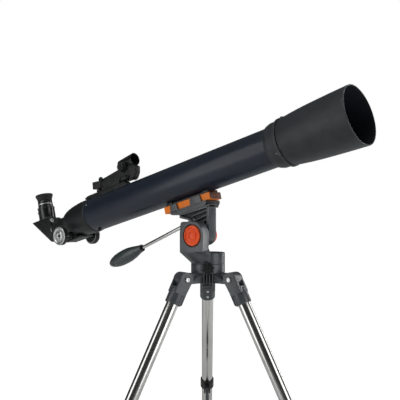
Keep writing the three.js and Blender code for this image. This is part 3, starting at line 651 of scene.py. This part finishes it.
def bar():
    outline = [(-126, -20), (8, -20), (8, 20), (-126, 20)]
    shape = plate(softened(outline, 2.4), -61.1, -46.4, 1.2)
    cradle_bed = side_plate([(-124, -47), (6, -47), (2, -40.8), (-121, -40.8)], -15, 15, 1.0)
    feet = Shape()
    for station in (-110, -6):
        feet = feet + block(station - 8, station + 8, -17.5, 17.5, -47.5, -39.6, 1.0)
    # End faces take the cast-end finish, which carries painted shade in its pits.
    piece("dovetail_orange", shape, TUBE, ORANGE, "optical_tube", "dovetail_bar",
          inner=(lambda c, n: c.x > 7.2 and n.x > 0.5, CAST))
    piece("dovetail_bed", cradle_bed + feet, TUBE, BLACK, "optical_tube", "dovetail_bar",
          inner=(lambda c, n: c.x > 3 and n.x > 0.3, CAST))


def pan_handle():
    rail = lathe([(0, 0.6), (3.2, 0.6), (4, 2), (4, 205), (0, 205)], 48, 0.5)
    piece("handle_tube", rail, HANDLE @ TO_X, CHROME, "pan_handle", "handle_rod")
    profile = [(4.3, 179.2), (7.0, 179.2), (8.2, 180.5), (9.9, 191), (12.4, 201), (14.5, 211), (16.4, 223),
               (17.0, 236), (16.6, 252), (15.4, 263), (13.4, 272.5), (10.6, 281), (7.2, 287.6), (4, 291),
               (0, 292.4)]
    shape = lathe([(0, 206)] + profile[::-1] + [(4.3, 206), (0, 206)], 96, 3.0)
    made = piece("grip", shape, HANDLE @ TO_X, GRIP, "pan_handle", "handle_grip")
    groove = hull([(x, y, z) for x in (12.2, 26) for y in (-3, 3) for z in (205, 243)], 1.0)
    groove_side = HANDLE @ TO_X @ spun(z=-118)
    carve(made, groove, groove_side @ spun(y=-2))
    carve(made, rod(2.4, -22, 22, 32), groove_side @ shifted(0, 0, 272) @ spun(y=90))
    ferrule = pipe(8.3, 4.2, 178.2, 180.4, 64, 0.3)
    piece("grip_ferrule", ferrule, HANDLE @ TO_X, BLACK, "pan_handle")


# ---- optical tube ----
def main_tube():
    shape = pipe(TUBE_RADIUS, 39.3, TUBE_REAR, TUBE_FRONT, 160, 0.5)
    piece("tube_shell", shape, TUBE @ TO_X, NAVY, "optical_tube", "main_tube")
    for turn in (-62, 58, 178):
        head = screw_head(2.1, 1.0)
        where = TUBE @ spun(x=turn) @ shifted(-358, 0, TUBE_RADIUS - 0.1)
        piece(f"tube_screw_{turn % 360}", head, where, STEEL, "optical_tube")


def lens_cell():
    collar = [(41.1, 178), (43.2, 177.6), (44.6, 179.4), (45.8, 183), (47.2, 188), (47.4, 203), (48.2, 204.6),
              (50.5, 205.2), (50.5, 210.8), (46.5, 210.8), (46.2, 216), (35.5, 216), (35.5, 213.5),
              (33, 213.5), (33, 203.5), (41.1, 203.5)]
    piece("cell_collar", lathe(collar, 128, 0.6), TUBE @ TO_X, HOOD, "optical_tube", "lens_cell")
    lugs = Shape()
    for turn in (90, 210, 330):
        lug = block(205.3, 211, -5.4, 5.4, 45.5, 52.8, 1.0)
        lugs = lugs + lug.at(turn=spun(x=turn - 90))
        where = TUBE @ spun(x=turn - 90) @ shifted(203.6, 0, 50.2) @ spun(y=-90)
        piece(f"collar_screw_{turn}", screw_head(1.7, 1.4), where, STEEL, "optical_tube")
    piece("collar_lugs", lugs, TUBE, HOOD, "optical_tube", "lens_cell")
    baffle = pipe(39.2, 34.6, 196, 199.5, 96, 0.3)
    piece("cell_baffle", baffle, TUBE @ TO_X, BLACK, "optical_tube")
    glass = [(0, 200.4), (10, 200.9), (18, 201.7), (26, 203), (32.6, 204.8), (32.6, 208.4), (26, 210.2),
             (18, 211.5), (10, 212.2), (0, 212.4)]
    piece("objective", lathe(glass, 96, 1.0), TUBE @ TO_X, LENS, "optical_tube", "objective_lens")
    retainer = pipe(35.3, 31.2, 213.7, 215.6, 96, 0.4)
    piece("objective_retainer", retainer, TUBE @ TO_X, BLACK, "optical_tube")


def dew_shield():
    outside = [(48.6, 211.6), (50.4, 225), (52.6, 245), (54.6, 268), (56.0, 290), (57.6, 320), (58.7, 344),
               (59.2, 358), (59.5, 362), (59.5, 368.2)]
    inside = [(57.4, 368.2), (57.0, 361), (56.6, 352), (56.2, 340), (55.0, 315), (53.8, 290), (51.4, 262),
              (48.8, 235), (46.5, 211.6)]
    shape = lathe(outside + inside, 160, 0.8)
    piece("hood", shape, TUBE @ TO_X, HOOD, "optical_tube", "dew_shield",
          inner=(lambda c, n: c.x * n.x + c.y * n.y < 0 and c.z < 366, HOOD_INSIDE))


def rear_cell():
    bell = [(41.1, -366.2), (41.4, -366.2), (42.5, -369), (42.6, -387), (42.2, -387.6), (42.2, -388.8),
            (42.4, -396), (41.6, -406), (40.1, -420), (38.7, -430), (36.7, -440), (34.6, -448), (31.6, -456),
            (27.6, -462.6), (25.4, -465.6), (23.4, -465.8), (23.4, -452.2), (34, -438.4), (38, -420.4),
            (38, -397), (41.1, -396.6)]
    piece("rear_bell", lathe(bell, 144, 0.4), TUBE @ TO_X, CELL, "optical_tube", "rear_cell")
    station, _, drop = PINION
    shape = Shape()
    for near, far in ((-19, -9), (9, 19)):
        cheek = [(station - 28, -45.4), (station + 15, -45.4), (station + 19, -38), (station + 12, -22),
                 (station - 26, -22)]
        shape = shape + side_plate(cheek, near, far, 1.2)
        face = lathe([(0, 0), (8.4, 0), (7.6, 8), (0, 8)], 48, 0.6)
        sign = 1 if near > 0 else -1
        shape = shape + face.at(station, sign * 18, drop, spun(x=-90 * sign))
    shape = shape + block(station - 28, station + 36, -19, 19, -45.4, -41.4, 1.2)
    for x in (station - 22, station + 29):
        for y in (-13, 13):
            shape = shape + rod(2.4, -46.4, -45, 24, 0.3).at(x, y, 0)
    piece("pinion_housing", shape, TUBE, CELL, "optical_tube", "rear_cell")
    bump = lathe([(0, 0), (4.6, 0), (4.2, 3.4), (2.6, 4.6), (0, 4.8)], 40, 0.8)
    piece("tube_plug", bump, TUBE @ shifted(-352, -10, -40) @ spun(x=180), BLACK, "optical_tube")


def focuser():
    barrel = [(19.6, -513.8), (24.5, -513.8), (24.5, -502.2), (22.95, -501), (22.95, -336), (20.5, -336),
              (20.5, -500), (19.6, -501)]
    piece("draw_barrel", lathe(barrel, 96, 0.5), TUBE @ TO_X, BLACK, "focus_tube", "drawtube")
    rack = block(-498, -338, -3.9, 3.9, -26.2, -21.6, 0.3)
    for k in range(40):
        x = -497 + 4 * k
        tooth = ((x - 1.1, 3.9, -26), (x + 1.1, 3.9, -26), (x - 0.5, 3.9, -27.5), (x + 0.5, 3.9, -27.5))
        rack = rack + hull(straddling(tooth), 0)
    piece("focus_rack", rack, TUBE, BLACK, "focus_tube", "drawtube")
    where = TUBE @ shifted(*PINION) @ TO_Y
    shaft = rod(3, -53, 53, 40, 0.5)
    piece("pinion_shaft", shaft, where, STEEL, "focus_pinion", "focus_shaft")
    pinion = lathe([(0, -5), (6, -5), (6, 5), (0, 5)], 96, 0.2, knurl(12, -0.12))
    piece("pinion_gear", pinion, where, STEEL, "focus_pinion", "focus_shaft")
    for name, sign in (("right", -1), ("left", 1)):
        turn = where if sign > 0 else where @ spun(x=180)
        rim = [(0, 40), (9, 40), (9, 45.6), (19, 46.2), (22.9, 47.4), (22.9, 56.4), (22.3, 57.4),
               (21.6, 57.4), (21, 56.8), (0, 56.8)]
        rim_shape = lathe(rim, 240, 0.5, knurl(80, -0.012))
        piece(f"focus_rim_{name}", rim_shape, turn, BLACK if sign > 0 else CELL, "focus_pinion",
              "focus_knob_" + name)
        face = [(0, 56.6), (22.2, 56.6), (22.2, 58.3), (21.2, 59), (18.2, 58.9), (17.2, 58.2), (16.2, 57.4),
                (10.4, 57.6), (9.6, 58.5), (7.2, 58.9), (6, 58.6), (5.2, 57.2), (0, 57.2)]
        piece(f"focus_face_{name}", lathe(face, 120, 0.5), turn, STEEL, "focus_pinion", "focus_knob_" + name)
        ring = pipe(20, 18.4, 45.3, 46.8, 120, 0.3)
        piece(f"focus_ring_{name}", ring, turn, STEEL, "focus_pinion")
        hub = [(0, 56), (3.6, 56), (3.4, 58.4), (1.6, 58.6), (1.3, 57.6), (0, 57.6)]
        piece(f"focus_hub_{name}", lathe(hub, 48, 0.3), turn, BLACK, "focus_pinion")


def diagonal():
    s = EYEPIECE_STATION
    outline = softened([(s - 41, 34), (s + 25, -32), (s + 33, -32), (s + 33, 26), (s + 25, 34)], 3)
    shape = side_plate(outline, -19.9, 19.9, 1.6)
    cover = ((s - 36, 14, 32.4), (s + 22, 14, -30.4), (s - 38, 14, 31), (s + 21, 14, -31.6))
    back = hull(straddling(cover), 0.6)
    piece("diagonal_body", shape + back, TUBE, GLOSS, "diagonal", "diagonal_housing")
    holder = [(16.2, 33), (22.4, 33), (22.4, 35.4), (21.6, 36.4), (21.6, 62), (22.4, 62.6), (22.4, 65.8),
              (16.2, 65.8)]
    piece("eyepiece_holder", lathe(holder, 96, 0.5), TUBE @ shifted(s, 0, 0), GLOSS, "diagonal",
          "diagonal_housing")
    nose = [(13.4, s + 30), (21, s + 30), (21, -515), (15.7, -515), (15.7, -492), (13.4, -492)]
    piece("diagonal_nose", lathe(nose, 96, 0.4), TUBE @ TO_X, STEEL, "diagonal", "diagonal_housing")
    mirror = block(-2.6, -0.4, -16.5, 16.5, -18.5, 18.5, 0.3).at(turn=spun(y=-45))
    piece("diagonal_glass", mirror, TUBE @ shifted(s + 1, 0, 0), MIRROR, "diagonal", "diagonal_mirror")
    thumb = [(0, 16.8), (2.5, 16.8), (2.5, 23.6), (4, 24), (4, 32.6), (0, 32.8)]
    piece("eyepiece_screw_head", lathe(thumb, 96, 0.4, knurl(24, -0.05)),
          TUBE @ shifted(s, 0, 58) @ spun(y=-90), STEEL, "eyepiece_screw", "eyepiece_thumbscrew")
    low = [(0, 16.8), (2.5, 16.8), (2.5, 26.6), (4, 27), (4, 35.6), (0, 35.8)]
    piece("drawtube_screw_head", lathe(low, 96, 0.4, knurl(24, -0.05)),
          TUBE @ shifted(-508, 0, 0) @ spun(x=45), STEEL, "drawtube_screw", "drawtube_thumbscrew")


def eyepiece():
    where = TUBE @ shifted(EYEPIECE_STATION, 0, 0)
    barrel = [(12.6, 42.2), (15.7, 42.2), (15.7, 66.4), (19.4, 66.4), (19.4, 72.6), (18.7, 73.2),
              (18.7, 75.8), (19.2, 76.4), (18.4, 83.8), (13.6, 84), (13.6, 85.8), (10.4, 85.8), (10.4, 80),
              (12.6, 80)]
    piece("eyepiece_barrel", lathe(barrel, 96, 0.4), where, GLOSS, "eyepiece", "eyepiece_body")
    band = pipe(19.35, 18.4, 73.3, 75.7, 96, 0.3)
    piece("eyepiece_band", band, where, STEEL, "eyepiece", "eyepiece_body")
    cup = [(14, 84.5), (18.8, 84.5), (19.0, 87), (20.2, 91), (21.6, 94.6), (22.9, 98), (22.6, 100.4),
           (21.6, 101), (20.6, 100.4), (18.6, 95.4), (16.4, 92), (14, 90.6)]
    piece("eyecup_rubber", lathe(cup, 96, 0.5), where, RUBBER, "eyepiece", "eyecup")
    lens = [(0, 80.8), (6, 81), (10.1, 82), (10.1, 83.5), (6, 84.9), (0, 85.3)]
    piece("eye_lens_glass", lathe(lens, 72, 0.6), where, EYE, "eyepiece", "eye_lens")


# ---- finder ----
def finder():
    rail = softened([(-386, 43), (-366.4, 43), (-366.4, 41.3), (-238.4, 41.3), (-238.4, 45), (-243, 49.8),
                     (-375, 49.8), (-386, 46.4)], 1)
    shape = side_plate(rail, -8.9, 8.9, 0.6)
    for side in (-1, 1):
        near, far = sorted((7.4 * side, 8.9 * side))
        shape = shape + block(-365.6, -239, near, far, 40.5, 42, 0.3)
    piece("finder_rail", shape, TUBE, BLACK, "optical_tube", "finder_bracket")
    beam = [(-322, 50.4), (-259, 50.4), (-257.6, 57), (-252, 61.6), (-229, 61.6), (-223.4, 57),
            (-221.6, 46.4), (-212, 49.4), (-203.4, 60), (-199.8, 74.6), (-208, 81), (-254, 82), (-322, 75)]
    shape = side_plate(softened(beam, 1.6), -9.3, 9.3, 1.0)
    shape = shape + side_plate([(-353, 60), (-326, 58), (-321, 73), (-330, 75.6), (-350.6, 78)], -9.4, 9.4,
                               1.8)
    panel = softened([(-315, 57), (-266, 57), (-258, 65), (-226, 65.6), (-214, 58), (-207, 66), (-208, 74),
                      (-224, 77), (-262, 77), (-315, 70.5)], 2.5)
    shape = shape + side_plate(panel, -10, -9, 0.4) + side_plate(panel, 9, 10, 0.4)
    piece("finder_beam", shape, TUBE, BLACK, "optical_tube", "finder_body")
    barrel = [(9.2, -25), (10.4, -25), (11.2, -20), (14.9, 22), (15.3, 24.8), (14, 24.8), (13.4, 18),
              (11.4, -2), (9.2, -3)]
    centre = TUBE @ shifted(-228, 0, 93.3)
    piece("finder_barrel", lathe(barrel, 96, 0.5), centre @ TO_X, GLOSS, "optical_tube", "finder_body",
          inner=(lambda c, n: c.x * n.x + c.y * n.y < 0, HOOD_INSIDE))
    stop = lathe([(0, -24.6), (9.3, -24.6), (9.3, -22), (0, -22)], 64, 0.4)
    piece("finder_stop", stop, centre @ TO_X, BLACK, "optical_tube", "finder_body")
    window = lathe([(0, 1.8), (11.6, 2.2), (11.6, 3.6), (0, 3.4)], 64, 0.2)
    piece("finder_lens", window, centre @ TO_X, DARK_GLASS, "optical_tube", "finder_window")
    switch = TUBE @ shifted(-236, 0, 83) @ spun(x=90)
    boss = lathe([(0, 9), (12.6, 9), (12, 14.6), (11, 15.6), (0, 15.6)], 80, 0.5)
    piece("finder_dial_boss", boss, switch, BLACK, "optical_tube", "finder_body")
    dial = lathe([(0, 16.2), (9.4, 16.2), (10.4, 16.8), (10.4, 20.6), (9.6, 21.5), (7.6, 21.5), (7, 21),
                  (2.4, 21), (1.8, 20.2), (0, 20.2)], 160, 0.3, knurl(32, -0.025))
    piece("finder_dial_knob", dial, switch, CELL, "finder_dial", "finder_switch")
    wheel = lathe([(0, 51.3), (15.4, 51.3), (16, 52.4), (16, 58.2), (15, 59.6), (0, 59.6)], 200, 0.5,
                  knurl(40, -0.02))
    piece("finder_wheel_knob", wheel + rod(2.1, 59, 63.8), TUBE @ shifted(-240, 0, 0), CELL, "finder_wheel",
          "finder_adjust_knob")
    side_knob = lathe([(0, 9), (6.5, 9), (6.5, 12.2), (5.6, 13.4), (2.4, 13.4), (2, 12.8), (0, 12.8)], 96,
                      0.4, knurl(18, -0.04))
    piece("finder_side_knob", side_knob, TUBE @ shifted(-317, 0, 75.5) @ spun(x=90), CELL, "optical_tube",
          "finder_body")
    for name, station, height in (("rear", -318, 59), ("front", -276, 60)):
        well = lathe([(1.3, 9.6), (2.7, 9.6), (2.5, 10.9), (1.3, 10.7)], 40, 0.2)
        piece("finder_screw_" + name, well, TUBE @ shifted(station, 0, height) @ spun(x=90), CELL,
              "optical_tube")
    nut = lathe([(0, 50.1), (7.6, 50.1), (8.2, 53), (6.4, 57.6), (0, 58.6)], 96, 0.6, knurl(20, -0.04))
    piece("finder_rail_nut", nut, TUBE @ shifted(-338, 0, 0), BLACK, "optical_tube")


# ---- legs ----
def leg_socket(place):
    where = LEGS[place]
    sleeve = lathe([(0, -56.3), (16.4, -56.3), (17, -54), (17, -33), (15.6, -24), (0, -20)], 72, 1.4)
    shape = sleeve.at(LEG_OFFSET)
    for near, far in ((-17, -10.4), (10.4, 17)):
        cheek = arc(0, 0, 14.8, 165, -5, 28) + [(LEG_OFFSET + 13, -34), (LEG_OFFSET - 13, -34)]
        shape = shape + side_plate(cheek, near, far, 1.2)
    hood = arc(0, 0, 15.4, -62, 74, 24) + arc(0, 0, 12.5, 74, -62, 24)
    shape = shape + side_plate(hood, -16.9, 16.9, 0.9)
    shape = shape + block(LEG_OFFSET - 14, LEG_OFFSET + 14, -13.4, 13.4, -33, -20.2, 2.0)
    for sign in (-1, 1):
        boss = lathe([(0, 16.5), (8.6, 16.5), (8.2, 17.3), (0, 17.3)], 48, 0.3)
        shape = shape + boss.at(turn=spun(x=-90 * sign))
    face = softened([(-9.5, -54), (9.5, -54), (9.5, -24), (-9.5, -24)], 4)
    piece("socket_" + place, shape, where, GREY, "leg_" + place, "leg_socket_" + place)
    back = plate(face, -1.5, 1.2, 0.9)
    piece("socket_plate_" + place, back,
          where @ shifted(LEG_OFFSET - 16.2, 0, 0) @ axes_at((0, 0, 0), (0, 1, 0),
          (0, 0, 1), (1, 0, 0)), GREY, "leg_" + place)
    for k, height in enumerate((-32, -46)):
        screw = screw_head(2.6, 1.5)
        piece(f"socket_screw_{place}_{k}", screw, where @ shifted(LEG_OFFSET - 17.6, 0, height) @ spun(y=-90),
              STEEL, "leg_" + place)
    bolt = rod(3, -18, 18, 40, 0.3)
    head = lathe([(0, 17.4), (5, 17.4), (5, 20), (4, 20.8), (2.5, 20.8), (2.1, 19), (0, 19)], 48, 0.4)
    nut = plate(arc(0, 0, 5, 0, 300, 5), -20.6, -17.4, 0.4)
    piece("pivot_bolt_" + place, bolt + head + nut, where @ TO_Y, STEEL, "tripod", "leg_pivot_bolt_" + place)


def leg_tubes(place):
    where = LEGS[place] @ shifted(LEG_OFFSET, 0, 0)
    upper = pipe(UPPER_LEG_RADIUS, 11.8, -425, -24.8, 112, 0.4)
    piece("upper_tube_" + place, upper, where, CHROME, "leg_" + place, "upper_leg_" + place)
    band = pipe(15.9, 13.02, BRACE_HEIGHT - 11, BRACE_HEIGHT + 11, 72, 0.8)
    for sign in (-1, 1):
        ear = side_plate(softened([(-33.4, -9), (-33.4, 9), (-14, 10), (-14, -10)], 5), sign * 5.9 - 1.6,
                         sign * 5.9 + 1.6, 0.5).at(z=BRACE_HEIGHT)
        band = band + ear
    piece("brace_band_" + place, band, where, BLACK, "leg_" + place, "upper_leg_" + place)
    lower = pipe(LOWER_LEG_RADIUS, 8.3, -717.8, -66, 96, 0.4)
    piece("lower_tube_" + place, lower, where, CHROME, "lower_leg_" + place, "lower_leg_" + place)
    sleeve = [(13.3, -395), (16.2, -395), (17, -397), (17, -443), (15.6, -446.8), (9.8, -446.8),
              (9.8, -425.4), (13.3, -425.4)]
    lock = lathe([(0, 13), (9, 13), (8.6, 22), (0, 22)], 48, 0.6).at(0, 0, LOCK_HEIGHT, spun(y=90))
    piece("clamp_sleeve_" + place, lathe(sleeve, 80, 0.8), where, BLACK, "leg_" + place, "leg_clamp_" + place)
    piece("clamp_boss_" + place, lock, where, BLACK, "leg_" + place, "leg_clamp_" + place)
    knob = rod(3, 12, 26) + lobed(9.4, 3.0, 6, 22.8, 33.2, 1.4)
    piece("lock_grip_" + place, knob, where @ shifted(0, 0, LOCK_HEIGHT) @ TO_X, BLACK, "leg_lock_" + place,
          "leg_lock_knob_" + place)


def foot(place):
    where = LEGS[place] @ shifted(LEG_OFFSET, 0, 0)
    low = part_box("foot_" + place)[0].z
    profile = [(0, -718.6), (9.8, -718.6), (9.8, -704.4), (13.6, -704.4), (14.9, -708), (14.9, -724),
               (14.2, -726), (14.9, -728), (14.9, -764), (0, -764)]
    made = piece("foot_pad_" + place, lathe(profile, 80, 0.8), where, RUBBER, "lower_leg_" + place,
                 "foot_" + place)
    ground = hull([(x, y, z) for x in (-600, 600) for y in (-600, 600) for z in (-200, 0)], 0)
    carve(made, ground, Matrix.Translation((HEAD.translation.x, HEAD.translation.y, low)))


def spreader():
    hub = lathe([(0, -12), (19, -12), (19, 2.4), (17, 4), (0, 4)], 72, 0.8)
    for place in SIDES:
        for low, high in ((-8.3, -5.3), (5.3, 8.3)):
            ear = side_plate(softened([(12, -12), (33.8, -12), (33.8, 5.8), (12, 5.8)], 4), low, high, 0.6)
            hub = hub + ear.at(turn=spun(z=LEG_TURNS[place]))
    piece("spreader_centre", hub, SPREADER, BLACK, "spreader", "spreader_hub")
    corners = []
    for place in SIDES:
        for turn in (-24, 24):
            a = math.radians(LEG_TURNS[place] + 60 + turn)
            corners.append((78 * math.cos(a), 78 * math.sin(a)))
    corners.sort(key=lambda p: math.atan2(p[1], p[0]))
    tray = plate(softened(corners, 9), -16.4, -12.5, 0.9)
    made = piece("tray", tray, SPREADER, BLACK, "spreader", "accessory_tray")
    rims = Shape()
    for place in SIDES:
        a = math.radians(LEG_TURNS[place] + 60)
        x, y = 48 * math.cos(a), 48 * math.sin(a)
        carve(made, rod(17, -30, 0, 64, 0.1).at(x, y), SPREADER)
        rims = rims + pipe(18.6, 17.05, -16.9, -12.15, 72, 0.4).at(x, y)
    piece("tray_rims", rims, SPREADER, BLACK, "spreader", "accessory_tray")
    knob = lobed(13.6, 3.6, 6, -29.6, -17.2, 1.8) + rod(3.9, -20, 2)
    piece("tray_screw_grip", knob, SPREADER, BLACK, "tray_screw", "tray_knob")


def spreader_arm(place):
    low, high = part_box("spreader_arm_" + place)
    start = ARMS[place].translation
    node_centre = (low + high) / 2
    reach = node_centre - start
    rise = math.degrees(math.atan2(reach.z, Vector((reach.x, reach.y)).length))
    where = ARMS[place] @ spun(y=-rise)
    length = reach.length * 2 / MM
    outline = arc(0, 0, 4.8, 90, 270, 12) + arc(length, 0, 4.3, -90, 90, 12)
    channel = side_plate([(p[0], p[1] * 0.46) for p in outline], -3.8, 3.8, 0.4)
    for end, radius in ((0, 4.9), (length, 4.4)):
        channel = channel + rod(radius, -3.9, 3.9, 40, 0.4).at(end, 0, 0, spun(x=90))
    channel = channel + rod(2.1, -8.2, 8.2, 32, 0.3).at(0, 0, 0, spun(x=90))
    piece("brace_arm_" + place, channel, where, GREY, "spreader_arm_" + place, "spreader_arm_" + place)


tripod_hub()
azimuth_lock()
head_disc()
upright()
altitude_caps()
cradle()
saddle()
bar()
pan_handle()
main_tube()
lens_cell()
dew_shield()
rear_cell()
focuser()
diagonal()
eyepiece()
finder()
for place in SIDES:
    leg_socket(place)
    leg_tubes(place)
    foot(place)
    spreader_arm(place)
spreader()

for bolt, finish in (("altitude_bolt", STEEL), ("azimuth_bolt", BLACK)):
    shown = frame["nodes"][bolt]
    shown.data.materials.clear()
    shown.data.materials.append(finish.material)


# ---- stage, camera and light ----
def stage():
    mesh = bpy.data.meshes.new("floor")
    work = bmesh.new()
    bmesh.ops.create_circle(work, cap_ends=True, segments=96, radius=30)
    work.to_mesh(mesh)
    work.free()
    floor = bpy.data.objects.new("floor", mesh)
    floor.location = (0, 0, -0.0005)
    bpy.context.scene.collection.objects.link(floor)
    pale = Finish("pale_floor", None)
    glow = pale.node("ShaderNodeLightPath", out="Is Camera Ray") * FLOOR_GLOW
    pale.finish(base=(0.93, 0.93, 0.93), rough=0.9, specular=0.1, glow=(1, 1, 1), glow_strength=glow)
    mesh.materials.append(pale.material)


def soft_light(name, place, aim, size, power):
    lamp = bpy.data.lights.new(name, "AREA")
    lamp.shape = "RECTANGLE"
    lamp.size, lamp.size_y = size
    lamp.energy = power
    made = bpy.data.objects.new(name, lamp)
    made.location = place
    made.rotation_euler = (Vector(aim) - Vector(place)).to_track_quat("-Z", "Y").to_euler()
    bpy.context.scene.collection.objects.link(made)


def sky():
    """Bright overhead, dim near the horizon, and plain white where the camera sees it."""
    world = bpy.data.worlds.new("studio")
    world.use_nodes = True
    bpy.context.scene.world = world
    nodes, links = world.node_tree.nodes, world.node_tree.links
    direction = nodes.new("ShaderNodeTexCoord")
    parts = nodes.new("ShaderNodeSeparateXYZ")
    links.new(direction.outputs["Generated"], parts.inputs[0])
    ramp = nodes.new("ShaderNodeValToRGB")
    levels = ((0.0, 0.10), (0.3, 0.04), (0.75, 0.14), (1.0, 1.0))
    for i, (position, level) in enumerate(levels):
        stop = ramp.color_ramp.elements[i] if i < 2 else ramp.color_ramp.elements.new(position)
        stop.position = position
        stop.color = (level, level, level, 1)
    links.new(parts.outputs["Z"], ramp.inputs[0])
    lit = nodes["Background"]
    lit.inputs["Strength"].default_value = SKY_STRENGTH
    links.new(ramp.outputs["Color"], lit.inputs["Color"])
    seen = nodes.new("ShaderNodeBackground")
    path = nodes.new("ShaderNodeLightPath")
    choice = nodes.new("ShaderNodeMixShader")
    links.new(path.outputs["Is Camera Ray"], choice.inputs[0])
    links.new(lit.outputs[0], choice.inputs[1])
    links.new(seen.outputs[0], choice.inputs[2])
    seen.inputs["Color"].default_value = (1, 1, 1, 1)
    links.new(choice.outputs[0], nodes["World Output"].inputs["Surface"])


def studio():
    sky()
    middle = HEAD.translation
    soft_light("key", middle + Vector((-0.5, -1.7, 2.1)), middle, (1.2, 0.9), 12)
    soft_light("right_panel", middle + Vector((2.2, 0.2, 0.3)), middle, (1.4, 2.2), 19)
    soft_light("left_panel", middle + Vector((-1.0, -2.0, 0.3)), middle, (1.2, 2.2), 14)
    soft_light("back_strip", middle + Vector((0.7, 2.2, 0.4)), middle, (0.5, 2.0), 13)


def camera():
    lens = bpy.data.cameras.new("camera")
    lens.lens = 62.27
    lens.sensor_width = 36
    lens.clip_end = 100
    made = bpy.data.objects.new("camera", lens)
    made.location = HEAD.translation + Vector((928.8, -1164.3, 101.6)) * MM
    made.rotation_euler = (math.radians(91.32), 0, math.radians(39.24))
    bpy.context.scene.collection.objects.link(made)
    bpy.context.scene.camera = made


stage()
studio()
camera()
bpy.context.scene.view_settings.view_transform = "Standard"
